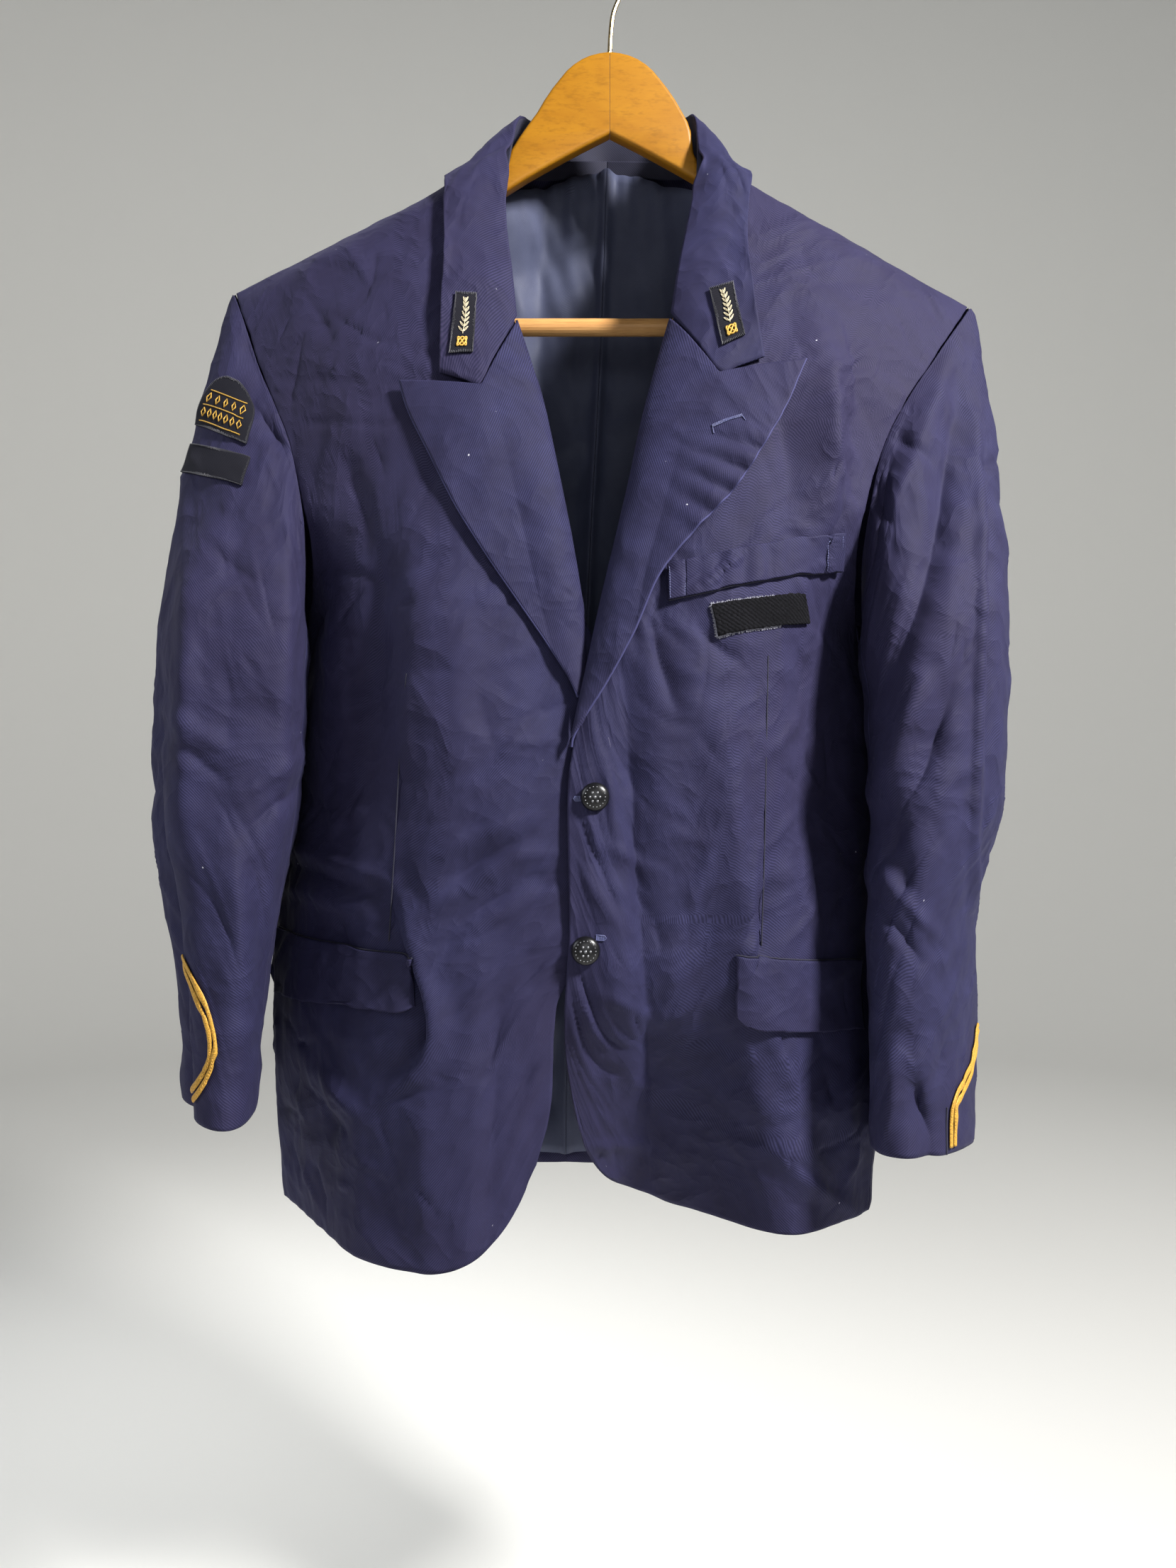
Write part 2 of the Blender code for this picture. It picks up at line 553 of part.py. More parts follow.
def sleeve_rings(side, panels, turns):
    """Points of a sleeve's rings, from the armhole to the cuff, at these turns round it."""
    out = -1 if side == "right" else 1
    table = SLEEVE_RIGHT if side == "right" else SLEEVE_LEFT
    fine = armhole(panels, 201)
    start = np.array([np.interp(turns % 1.0, np.linspace(0, 1, 201), fine[:, k]) for k in range(3)]).T
    under = np.clip(-np.cos(2 * np.pi * turns), 0, 1)[:, None]
    start = start + np.array([out, 0, 0]) * (ARMHOLE_OUT + UNDERARM_OUT * under)
    start = start + np.array([0, 0, UNDERARM_RISE]) * under
    levels = []
    for _, z_front, z_back, x, y, half_wide, half_thick, turn in table:
        turn = math.radians(turn)
        wide = np.array([-out * math.sin(turn), -math.cos(turn)])
        thick = np.array([out * math.cos(turn), -math.sin(turn)])
        swing = 2 * np.pi * turns
        ahead = np.sin(swing)[:, None]
        flat = np.array([x, y]) + wide * half_wide * ahead + thick * half_thick * np.cos(swing)[:, None]
        height = z_back + (z_front - z_back) * (1 + ahead) / 2
        levels.append(np.hstack([flat, height]))
    levels = np.array(levels)
    reach = np.linalg.norm(levels[0] - start, axis=1, keepdims=True)
    leave = np.array([out, 0, -CAP_FALL]) * reach * CAP_OUT[side]
    arrive = (levels[1] - levels[0]) / np.linalg.norm(levels[1] - levels[0], axis=1, keepdims=True) * reach
    cap = []
    for s in np.linspace(0, 1, CAP_RINGS)[:-1]:
        a, b = 2 * s**3 - 3 * s**2 + 1, s**3 - 2 * s**2 + s
        c, d = 3 * s**2 - 2 * s**3, s**3 - s**2
        cap.append(a * start + b * leave + c * levels[0] + d * arrive)
    tube = through(levels, np.linspace(0, len(levels) - 1, SLEEVE_RINGS))
    rings = np.vstack([cap, tube])
    middle = rings.mean(axis=1, keepdims=True)
    way = rings - middle
    way[:, :, 2] = 0
    way /= np.maximum(np.linalg.norm(way, axis=2, keepdims=True), 1e-9)
    push = np.zeros(rings.shape[:2])
    for z_top, z_low, turn_top, turn_low, width, depth in SLEEVE_FOLDS[side]:
        share = (z_top - rings[:, :, 2]) / (z_top - z_low)
        centre = turn_top + (turn_low - turn_top) * np.clip(share, 0, 1)
        gap = (turns - centre + 0.5) % 1.0 - 0.5
        fade = 1 / (1 + np.exp(-share * 12)) / (1 + np.exp((share - 1) * 12))
        push += depth * np.exp(-((gap / width) ** 2)) * fade
    return rings + push[:, :, None] * way


def sleeves(panels):
    grids = {}
    for side in ("right", "left"):
        upper = np.linspace(SLEEVE_SEAMS["back"] - 1, SLEEVE_SEAMS["front"], UPPER_COLUMNS)
        body = tree_of(*panels[side])
        out = np.array([-1.0 if side == "right" else 1.0, 0, 0])
        under = np.linspace(SLEEVE_SEAMS["front"], SLEEVE_SEAMS["back"], UNDER_COLUMNS)
        for name, turns in (("upper", upper), ("under", under)):
            rings = sleeve_rings(side, panels[side], turns)
            rings[1:] = kept_off(rings[1:], body, 2 * CLOTH + SLEEVE_CLEAR, lambda point: (out[0], 0, 0))
            grid = rings[::-1]
            grids[f"{name}_{side}"] = grid
            way = tuple(out if name == "upper" else -out)
            sheet(f"sleeve_{name}_{side}", drawn_in(grid, left=SEAM_GAP, right=SEAM_GAP), "cloth", way=way)
    return grids


def lapel_grid(side, front):
    """A lapel's grid over the front: it rises in a soft roll and lies flat towards its edge."""
    table = LAPEL_RIGHT if side == "right" else LAPEL_LEFT
    rows = np.array(table)
    lines = through(rows, even_steps(rows[:, 1], 15))
    across = np.linspace(0, 1, 8)
    inner, outer = lines[-1]
    below, above = across <= LAPEL_CORNER, across > LAPEL_CORNER
    top = np.vstack([
        between(inner, GORGE[side], across[below] / LAPEL_CORNER),
        between(GORGE[side], outer, (across[above] - LAPEL_CORNER) / (1 - LAPEL_CORNER)),
    ])
    dip = top - between(inner, outer, across)
    grid = []
    for k, (inner, outer) in enumerate(lines):
        line = between(inner, outer, across) + dip * math.exp((k - len(lines) + 1) / 2.6)
        reach = np.linalg.norm(outer - inner)
        grid.append([
            at(front, x, z, ON_CLOTH + LAPEL_LIFT * (1 - math.exp(-s * reach / ROLL_RADIUS)))
            for s, (x, z) in zip(across, line)
        ])
    return np.array(grid)


def lapels(panels):
    for side in ("right", "left"):
        sheet(f"lapel_{side}", lapel_grid(side, panels[side][0]), "cloth")


def tree_of(*grids):
    """A search tree over the inner faces of some panels."""
    points, faces = [], []
    for grid in grids:
        rows, columns = grid.shape[:2]
        start = len(points)
        points += [Vector(p) for p in grid.reshape(-1, 3)]
        for i in range(rows - 1):
            for j in range(columns - 1):
                k = start + i * columns + j
                faces.append((k, k + 1, k + columns + 1, k + columns))
    return BVHTree.FromPolygons(points, faces)


def kept_off(grid, tree, gap, way):
    """The grid with each point at least this far from the panels, on the side the way leads to."""
    moved = grid.copy()
    for i, row in enumerate(grid):
        for j, point in enumerate(row):
            near, normal, _, _ = tree.find_nearest(Vector(point))
            normal = np.array(normal)
            if normal @ np.array(way(point)) < 0:
                normal = -normal
            rise = (point - np.array(near)) @ normal
            if rise < gap and np.linalg.norm(point - np.array(near)) < 0.02:
                moved[i, j] = point + normal * (gap - rise)
    return moved


def from_neck(point):
    return np.array([point[0] + 0.005, point[1] - 0.005, 0.06])


def collar_grids(panels):
    """The fall lies over the neck's outside, and the stand rises inside it from the neck seam."""
    rows = np.array([[fold, outer] for _, fold, outer in COLLAR])
    rows = through(rows, even_steps(rows[:, 0], COLLAR_COLUMNS))
    fold, outer = rows[:, 0], rows[:, 1]
    tree = tree_of(*(panels[side][k] for side in panels for k in (0, 2)))
    shares = np.linspace(0, 1, 7)
    fall = np.array([fold * (1 - s) + outer * s for s in shares])
    spread = np.array([from_neck(p) for p in fold])
    spread /= np.linalg.norm(spread, axis=1, keepdims=True)
    bulge = np.sin(np.pi * shares)[:, None, None]
    fall = kept_off(fall + bulge * spread * FALL_BULGE, tree, CLOTH + COLLAR_LIFT, from_neck)
    ends = {}
    for side in ("right", "left"):
        front = panels[side][0]
        table = LAPEL_RIGHT if side == "right" else LAPEL_LEFT
        aside = np.array((-COLLAR_GAP if side == "right" else COLLAR_GAP, COLLAR_GAP))
        top, corner = np.array(table[-1][0]) + aside, np.array(GORGE[side]) + aside
        share = COLLAR_CORNER
        line = [between(top, corner, [s / share])[0] if s < share
                else between(corner, NOTCH[side], [(s - share) / (1 - share)])[0] for s in shares]
        ends[side] = np.array([at(front, x, z, GORGE_LIFT) for x, z in line])
    middle = {side: (ends[side] + fall[:, 0 if side == "right" else -1]) / 2 for side in ends}
    fall = np.concatenate([
        ends["right"][:, None], middle["right"][:, None], fall,
        middle["left"][:, None], ends["left"][:, None],
    ], axis=1)
    return kept_off(fall, tree, CLOTH + GORGE_LIFT, from_neck)


def neck_edge(panels, count):
    """The neck seam from the right front's edge over the shoulders to the left front's."""
    parts = []
    for side in ("right", "left"):
        front, _, back = panels[side]
        high = front[front[:, 0, 2] > GORGE_TOP][:, 0]
        neck = back[-1][back[-1, :, 2] > NECK_POINT[side][2] + 0.0005][1:]
        parts.append(np.vstack([high, neck[::-1]]))
    line = np.vstack([parts[0], [BACK_NECK["centre"]], parts[1][::-1]])
    return through(line, even_steps(line, count))


def collar(panels):
    fall = collar_grids(panels)
    sheet("collar_fall", drawn_in(fall, top=0.0), "cloth", way=(0, -1, 0))
    seam = neck_edge(panels, STAND_COLUMNS)
    rows = np.array([[fold, outer] for _, fold, outer in COLLAR])
    fold = through(rows, even_steps(rows[:, 0], STAND_COLUMNS))[:, 0]
    inward = -np.array([from_neck(p) * (1, 1, 0) for p in seam])
    inward /= np.linalg.norm(inward, axis=1, keepdims=True)
    seam = seam + inward * STAND_IN + np.array([0, 0, STAND_FOOT])
    fold = fold + inward * STAND_IN - np.array([0, 0, STAND_TOP])
    stand = np.array([seam * (1 - s) + fold * s for s in np.linspace(0, 1, 4)])
    made = sheet("collar_stand", stand, "band", THIN)
    made.modifiers["wall"].offset = -1


def linings(panels):
    """The back lining shows in the open neck, under a band of cloth that follows the neck seam."""
    for side in ("right", "left"):
        back = panels[side][2]
        rows = len(back)
        inward = -facing(back, (0, 1, 0))
        inward[:, :2, 0] *= np.array([0.0, 0.5])
        hung = back + inward * LINING_DEPTH
        across = np.linspace(0, (back.shape[1] - 1) * LINING_SHARE, 7)
        lines = through(hung.transpose(1, 0, 2), across)
        falls = LINING_TOP + LINING_FALL * np.linspace(0, 1, 7) ** LINING_CURVE
        grid = np.array([
            through(line, np.linspace(0.35, rows - 1 - fall, 13)) for line, fall in zip(lines, falls)
        ]).transpose(1, 0, 2)
        grid = drawn_in(grid, left=LINING_EDGE[side])
        sheet(f"lining_{side}", grid, "lining", THIN, (0, 1, 0)).modifiers["wall"].offset = -1
        columns = np.linspace(0, NECK_STATION * 2.0, 6)
        band = through(back + inward * BAND_DEPTH, np.linspace(rows - 1 - LINING_TOP + 0.05, rows - 1.03, 3))
        band = drawn_in(through(band.transpose(1, 0, 2), columns).transpose(1, 0, 2), left=LINING_EDGE[side])
        sheet(f"neck_band_{side}", band, "band", THIN, (0, 1, 0)).modifiers["wall"].offset = -1


def flaps(panels):
    for side, (start, end, low, high) in FLAPS.items():
        front = panels[side][0]
        first, last = column_at(front, *start), column_at(front, *end)
        rows = []
        for down in np.linspace(1, 0, 5):
            row = []
            for s in np.linspace(0, 1, 10):
                z = start[1] + (end[1] - start[1]) * s - down * (low + (high - low) * s)
                row.append(on_panel(front, first + (last - first) * s, z, FLAP_LIFT * (1 + down)))
            rows.append(row)
        sheet(f"flap_{side}", np.array(rows), "cloth", THIN)


def cast_on(grid, flat, lift):
    """Where (x, z) points of the front view meet a surface, moved out by lift from its outer face."""
    tree = tree_of(grid)
    ahead = Vector((0, 1, 0))
    points = np.array([[tree.ray_cast(Vector((x, -1, z)), ahead)[0] for x, z in row] for row in flat])
    return points + facing(points, (0, -1, 0)) * (CLOTH + lift)


def pockets_and_patches(panels):
    left, right = panels["left"][0], panels["right"][0]
    start, end = np.array(WELT_ENDS)
    rise = np.array([0.0, WELT_HEIGHT])
    corners = (start, end, end + rise, start + rise)
    laid("chest_welt", left, quad_grid(corners, 11, 4), "cloth", lift=WELT_LIFT)
    start, end, height = CHEST_STRIP
    lift = np.array([STRIP_LEAN, -height])
    corners = (np.array(start) + lift, np.array(end) + lift, end, start)
    laid("chest_strip", left, quad_grid(corners, 7, 4), "black", lift=STRIP_LIFT)
    fall = collar_grids(panels)
    for side, corners in COLLAR_PATCHES.items():
        grid = cast_on(fall, quad_grid(corners, 5, 5), ON_CLOTH + SEAM_GAP)
        sheet(f"collar_patch_{side}", grid, "black", THIN)


def arm_outline(side):
    """Half of the wooden hanger, from its top down the shoulder and back along its lower edge."""
    out = -1 if side == "right" else 1
    neck, tip = np.array(NECK_POINT[side]), np.array(SHOULDER_TIP[side])
    top = HANGER_TOP + HANGER_NECK[side]
    top = through(top, np.linspace(0, len(top) - 1, 16))
    slope = (tip[2] - neck[2]) / (tip[0] - neck[0])
    shoulder = []
    for x in np.linspace(*HANGER_SHOULDER, 5):
        line = neck[2] + slope * (out * x - neck[0])
        shoulder.append((x, line - HANGER_UNDER))
    tail = np.array(HANGER_TAIL) + shoulder[-1]
    tail = through(np.vstack([tail, HANGER_FOOT]), np.linspace(0, len(tail) + len(HANGER_FOOT) - 1, 19))[1:]
    below = through(np.vstack([tail[-1:], HANGER_BELOW]), np.linspace(0, len(HANGER_BELOW), 13))[1:]
    outline = np.vstack([top, shoulder, tail, below])
    return outline * (out, 1)


def hanger():
    for side in ("right", "left"):
        out = -1 if side == "right" else 1
        data = bpy.data.curves.new(f"hanger_arm_{side}", "CURVE")
        data.dimensions = "2D"
        data.fill_mode = "BOTH"
        data.extrude = HANGER_THICK / 2 - HANGER_ROUND
        data.bevel_depth = HANGER_ROUND
        data.bevel_resolution = 0
        data.offset = -HANGER_ROUND
        spline = data.splines.new("POLY")
        outline = arm_outline(side)
        outline[:, 0] = np.where(np.abs(outline[:, 0]) < 1e-6, out * SEAM_GAP, outline[:, 0])
        spline.points.add(len(outline) - 1)
        for point, (x, z) in zip(spline.points, outline):
            point.co = (x, z, 0, 1)
        spline.use_cyclic_u = True
        arm = bpy.data.objects.new(f"hanger_arm_{side}", data)
        arm.rotation_euler = (math.pi / 2, 0, 0)
        data.materials.append(material(f"wood-{arm.name}"))
        PARTS.objects.link(arm)
    bpy.ops.mesh.primitive_cylinder_add(
        vertices=20, radius=BAR_RADIUS, depth=2 * (HANGER_ARM_FOOT - SEAM_GAP), location=(0, 0, BAR_Z),
        rotation=(0, math.pi / 2, 0),
    )
    bar = bpy.context.object
    bar.name = bar.data.name = "hanger_bar"
    for collection in list(bar.users_collection):
        collection.objects.unlink(bar)
    PARTS.objects.link(bar)
    bar.data.materials.append(material("bar-hanger_bar"))
    bar.data.shade_smooth()
    wire("hanger_hook", hook_route(), WIRE_RADIUS, "brass")


def hook_route():
    """The wire rises from the wood, leans to one side and turns over in a round hook."""
    radius = HOOK_RADIUS + WIRE_RADIUS
    centre = np.array([0.0, WIRE_RADIUS - radius])
    turn = np.radians(np.linspace(-50, 195, 22))
    ring = centre + radius * np.column_stack([np.cos(turn), np.sin(turn)])
    stem = np.array(((0.0, -0.0742), (0.0006, -0.0620), (0.0022, -0.0480), (0.0060, -0.0375)))
    flat = np.vstack([stem, ring])
    flat = through(flat, even_steps(flat, 34))
    return np.column_stack([flat[:, 0], np.zeros(len(flat)), flat[:, 1]])


def wire(name, route, radius, finish):
    data = bpy.data.curves.new(name, "CURVE")
    data.dimensions = "3D"
    data.bevel_depth = radius
    data.bevel_resolution = 2
    data.use_fill_caps = True
    spline = data.splines.new("POLY")
    spline.points.add(len(route) - 1)
    for point, place in zip(spline.points, route):
        point.co = (*place, 1)
    made = bpy.data.objects.new(name, data)
    data.materials.append(material(f"{finish}-{name}"))
    PARTS.objects.link(made)
    return made


def buttons(panels):
    """Each domed button stands on a shank that passes its buttonhole in the left front."""
    left, right = panels["left"][0], panels["right"][0]
    cloth = bpy.data.objects["front_left"]
    for name, (x, z) in BUTTONS.items():
        seat = at(left, x, z, BUTTON_LIFT)
        sewn = at(right, x, z, SHANK_GAP)
        shank = sewn[1] - seat[1]
        profile = (
            (0.0, BUTTON_HEIGHT), (BUTTON_RADIUS * 0.45, BUTTON_HEIGHT * 0.95),
            (BUTTON_RADIUS * 0.80, BUTTON_HEIGHT * 0.72), (BUTTON_RADIUS * 0.97, BUTTON_HEIGHT * 0.40),
            (BUTTON_RADIUS, BUTTON_HEIGHT * 0.15), (BUTTON_RADIUS * 0.92, 0.0),
            (SHANK_RADIUS, 0.0), (SHANK_RADIUS, -shank), (0.0, -shank),
        )
        mesh = bpy.data.meshes.new(f"button_{name}")
        mesh.from_pydata([(r, 0, h) for r, h in profile], [(k, k + 1) for k in range(len(profile) - 1)], [])
        button = placed(f"button_{name}", mesh, "button", smooth=False)
        button.location = seat
        button.rotation_euler = (math.pi / 2, 0, 0)
        screw = button.modifiers.new("turned", "SCREW")
        screw.steps = screw.render_steps = 20
        screw.use_merge_vertices = True
        screw.merge_threshold = 0.00005
        screw.use_smooth_shade = True
        bpy.ops.mesh.primitive_cube_add(size=1, location=(x + BUTTONHOLE_OUT, seat[1], z))
        hole = bpy.context.object
        hole.scale = (BUTTONHOLE[0], 0.03, BUTTONHOLE[1])
        hole.name = f"buttonhole_{name}"
        for collection in list(hole.users_collection):
            collection.objects.unlink(hole)
        CUTTERS.objects.link(hole)
        hole.hide_render = True
        hole.display_type = "WIRE"
        cut = cloth.modifiers.new(f"buttonhole_{name}", "BOOLEAN")
        cut.object = hole
        cut.operation = "DIFFERENCE"


def sleeve_laid(name, grid, flat, finish, wall=THIN, lift=0.0009):
    """A piece laid on the front of a sleeve, from a grid of (turn, z) places."""
    out = (0, -1, 0)
    rows = [[on_panel(grid, turn_column(turn), z, lift, out) for turn, z in row] for row in flat]
    return sheet(name, np.array(rows), finish, wall)


def turn_column(turn):
    """The upper sleeve's column at a number of turns from the shoulder line."""
    first, last = SLEEVE_SEAMS["back"] - 1, SLEEVE_SEAMS["front"]
    return (turn - first) / (last - first) * (UPPER_COLUMNS - 1)


def badges(grids):
    """The domed shoulder patch and the strip under it, and the two rows of braid on each cuff."""
    sleeve = grids["upper_right"]
    dome = []
    for v in np.linspace(0, 1, 6):
        half = SHOULDER_PATCH["half_turn"] * math.sqrt(1 - (0.97 * v) ** 2.4)
        low = SHOULDER_PATCH["foot_z"] + SHOULDER_PATCH["height"] * v
        dome.append([(SHOULDER_PATCH["turn"] + half * s, low - SHOULDER_PATCH["slope"] * half * s)
                     for s in np.linspace(-1, 1, 9)])
    sleeve_laid("shoulder_patch", sleeve, dome, "black")
    first, last = SLEEVE_STRIP["turns"]
    strip = []
    for down in np.linspace(1, 0, 4):
        strip.append([(first + (last - first) * s, SLEEVE_STRIP["top_z"] - SLEEVE_STRIP["slope"] * s
                       - SLEEVE_STRIP["height"] * down) for s in np.linspace(0, 1, 9)])
    sleeve_laid("sleeve_strip", sleeve, strip, "black")
    for side in ("right", "left"):
        line = through(BRAID[side], np.linspace(0, len(BRAID[side]) - 1, 21))
        way = np.gradient(line, axis=0) * (TURN_LENGTH, 1)
        way /= np.linalg.norm(way, axis=1, keepdims=True)
        aside = np.column_stack([-way[:, 1] / TURN_LENGTH, way[:, 0]])
        for name, start in (("inner", 0.0), ("outer", BRAID_PITCH)):
            flat = [line + aside * (start + BRAID_WIDTH * s) for s in (0.0, 0.5, 1.0)]
            sleeve_laid(f"cuff_braid_{name}_{side}", grids[f"upper_{side}"], flat, "gold")


def main():
    panels = {side: panels_of(side) for side in ("right", "left")}
    body_panels(panels)
    grids = sleeves(panels)
    lapels(panels)
    collar(panels)
    linings(panels)
    flaps(panels)
    pockets_and_patches(panels)
    buttons(panels)
    badges(grids)
    hanger()


for leftover in list(bpy.data.objects):
    bpy.data.objects.remove(leftover)
PARTS = bpy.data.collections.new("railway_work_jacket")
bpy.context.scene.collection.children.link(PARTS)
CUTTERS = bpy.data.collections.new("cutters")
bpy.context.scene.collection.children.link(CUTTERS)
main()
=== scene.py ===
"""The dressed railway work jacket: cloth, badges, buttons and hanger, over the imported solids."""

import math
import random

import bmesh
import bpy
import numpy as np
from mathutils import Matrix, Vector
from mathutils.bvhtree import BVHTree


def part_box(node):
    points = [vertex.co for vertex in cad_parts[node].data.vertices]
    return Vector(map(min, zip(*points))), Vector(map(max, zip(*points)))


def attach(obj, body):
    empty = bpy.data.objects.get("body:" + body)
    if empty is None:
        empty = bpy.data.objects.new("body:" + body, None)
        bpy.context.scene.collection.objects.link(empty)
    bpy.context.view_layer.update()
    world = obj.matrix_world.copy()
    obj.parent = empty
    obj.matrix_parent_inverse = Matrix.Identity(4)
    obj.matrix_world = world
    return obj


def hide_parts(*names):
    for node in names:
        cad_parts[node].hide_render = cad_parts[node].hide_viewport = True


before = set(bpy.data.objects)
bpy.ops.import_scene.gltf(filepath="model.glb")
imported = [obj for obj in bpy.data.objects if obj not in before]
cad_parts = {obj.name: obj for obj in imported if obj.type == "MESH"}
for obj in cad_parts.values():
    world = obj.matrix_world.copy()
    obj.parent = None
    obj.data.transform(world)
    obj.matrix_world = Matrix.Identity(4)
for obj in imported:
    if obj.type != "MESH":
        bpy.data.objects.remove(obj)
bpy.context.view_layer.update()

AHEAD = (0, -1, 0)
BEHIND = (0, 1, 0)
SIDES = {"right": -1, "left": 1}

# How thick the cloth is: the jacket's, the badges' and bands', the lining's, the pockets' and the braid's;
# then the gap under a piece that lies on another.
CLOTH = 0.0016
THIN = 0.0012
SATIN = 0.0006
FLAP_WALL = 0.0018
BRAID_WALL = 0.0008
ON_CLOTH = 0.0006
# The least side of a measured sheet, the ease on its measured sides, and its least share of their square.
LEAST_SHEET = 0.01
CUT_EASE = 1.01
LEAST_SHARE = 0.32

# Each row is a section of a front, from the hem up: the height at the front edge and at the side
# seam, how sharply the height changes near the edge, then (x, y) at the edge, the placket, the middle,
# the dart, the flank and the seam.
FRONTS = {
    "right": (
        ("hem", -0.790, -0.853, 8, (-0.046, -0.100),
         (-0.064, -0.107), (-0.096, -0.113), (-0.150, -0.082), (-0.190, -0.024), (-0.224, 0.030)),
        ("skirt", -0.757, -0.795, 2, (-0.037, -0.098),
         (-0.062, -0.103), (-0.094, -0.108), (-0.148, -0.082), (-0.191, -0.030), (-0.228, 0.027)),
        ("flap", -0.690, -0.715, 1, (-0.031, -0.0955),
         (-0.060, -0.100), (-0.093, -0.102), (-0.143, -0.080), (-0.193, -0.034), (-0.230, 0.024)),
        ("pocket", -0.655, -0.655, 1, (0.000, -0.0955),
         (-0.040, -0.098), (-0.085, -0.097), (-0.136, -0.079), (-0.189, -0.034), (-0.227, 0.022)),
        ("waist", -0.573, -0.573, 1, (0.010, -0.0925),
         (-0.022, -0.095), (-0.070, -0.100), (-0.128, -0.086), (-0.176, -0.046), (-0.214, 0.014)),
        ("break", -0.515, -0.515, 1, (0.004, -0.0870),
         (-0.024, -0.090), (-0.068, -0.098), (-0.124, -0.092), (-0.171, -0.056), (-0.207, 0.008)),
        ("chest", -0.462, -0.460, 1, (-0.0185, -0.083),
         (-0.042, -0.089), (-0.078, -0.096), (-0.122, -0.094), (-0.166, -0.066), (-0.201, 0.000)),
        ("breast", -0.411, -0.416, 1, (-0.027, -0.080),
         (-0.049, -0.087), (-0.081, -0.092), (-0.119, -0.089), (-0.156, -0.073), (-0.188, -0.050)),
        ("yoke", -0.340, -0.352, 1, (-0.0405, -0.070),
         (-0.060, -0.077), (-0.090, -0.082), (-0.126, -0.077), (-0.163, -0.065), (-0.2025, -0.046)),
        ("gorge", -0.272, -0.296, 1, (-0.062, -0.052),
         (-0.080, -0.059), (-0.104, -0.062), (-0.138, -0.059), (-0.180, -0.048), (-0.227, -0.026)),
        ("over", -0.164, -0.2515, 1, (-0.0775, -0.018),
         (-0.088, -0.022), (-0.112, -0.024), (-0.147, -0.024), (-0.192, -0.021), (-0.2435, -0.012)),
    ),
    "left": (
        ("hem", -0.770, -0.846, 12, (-0.0235, -0.060),
         (-0.008, -0.024), (0.030, 0.010), (0.063, -0.022), (0.112, -0.061), (0.1665, -0.018)),
        ("skirt", -0.728, -0.792, 2, (-0.0285, -0.083),
         (-0.012, -0.072), (0.026, -0.040), (0.060, -0.044), (0.108, -0.066), (0.170, -0.014)),
        ("flap", -0.690, -0.715, 1, (-0.028, -0.098),
         (-0.004, -0.098), (0.032, -0.088), (0.068, -0.078), (0.112, -0.070), (0.176, -0.004)),
        ("pocket", -0.650, -0.655, 1, (-0.0255, -0.1015),
         (0.001, -0.103), (0.037, -0.095), (0.078, -0.081), (0.120, -0.067), (0.177, 0.004)),
        ("waist", -0.573, -0.573, 1, (-0.0265, -0.1005),
         (0.002, -0.1025), (0.042, -0.100), (0.087, -0.087), (0.124, -0.060), (0.171, 0.002)),
        ("break", -0.535, -0.515, 1, (-0.0215, -0.0965),
         (0.004, -0.100), (0.044, -0.101), (0.086, -0.091), (0.124, -0.062), (0.167, 0.000)),
        ("chest", -0.460, -0.460, 1, (-0.0065, -0.089),
         (0.018, -0.094), (0.052, -0.097), (0.088, -0.089), (0.122, -0.068), (0.162, -0.004)),
        ("breast", -0.411, -0.418, 1, (0.006, -0.082),
         (0.026, -0.087), (0.056, -0.091), (0.088, -0.086), (0.120, -0.074), (0.1535, -0.054)),
        ("yoke", -0.340, -0.346, 1, (0.021, -0.071),
         (0.040, -0.077), (0.068, -0.081), (0.103, -0.077), (0.138, -0.065), (0.174, -0.050)),
        ("gorge", -0.272, -0.292, 1, (0.040, -0.052),
         (0.055, -0.059), (0.080, -0.062), (0.115, -0.059), (0.158, -0.048), (0.2075, -0.031)),
        ("over", -0.164, -0.258, 1, (0.0665, -0.018),
         (0.076, -0.022), (0.100, -0.024), (0.134, -0.024), (0.180, -0.021), (0.2315, -0.012)),
    ),
}

# Each row is a section of the right half of the back: the height at the centre and at the side, how
# the height changes between them, (x, y) at each station, and the left half's width to the right's.
BACK_STATIONS = ("centre", "nape", "neck", "blade", "seam")
BACK = (
    ("hem", -0.846, -0.852, 1, (-0.031, 0.080),
     (-0.075, 0.082), (-0.110, 0.082), (-0.160, 0.077), (-0.207, 0.058), 1.14),
    ("skirt", -0.715, -0.715, 1, (-0.029, 0.080),
     (-0.073, 0.083), (-0.109, 0.083), (-0.160, 0.078), (-0.212, 0.056), 1.14),
    ("waist", -0.573, -0.573, 1, (-0.023, 0.079),
     (-0.066, 0.082), (-0.102, 0.082), (-0.148, 0.077), (-0.190, 0.050), 1.13),
    ("chest", -0.460, -0.460, 1, (-0.016, 0.076),
     (-0.058, 0.080), (-0.095, 0.080), (-0.140, 0.070), (-0.184, 0.036), 1.05),
    ("blades", -0.400, -0.400, 1, (-0.0135, 0.074),
     (-0.056, 0.077), (-0.093, 0.076), (-0.138, 0.066), (-0.184, 0.040), 0.97),
    ("yoke", -0.320, -0.340, 1, (-0.009, 0.069),
     (-0.052, 0.071), (-0.090, 0.068), (-0.140, 0.056), (-0.205, 0.034), 0.93),
    ("high", -0.240, -0.290, 1, (-0.005, 0.065),
     (-0.050, 0.062), (-0.088, 0.054), (-0.145, 0.042), (-0.228, 0.020), 0.95),
    ("over", -0.150, -0.2515, 0.65, (-0.002, 0.060),
     (-0.048, 0.050), (-0.0825, 0.026), (-0.150, 0.023), (-0.2435, 0.008), 0.96),
)
BACK_NECK = {
    "centre": (-0.001, 0.058, -0.119),
    "right": (-0.045, 0.042, -0.127),
    "left": (0.039, 0.042, -0.127),
}
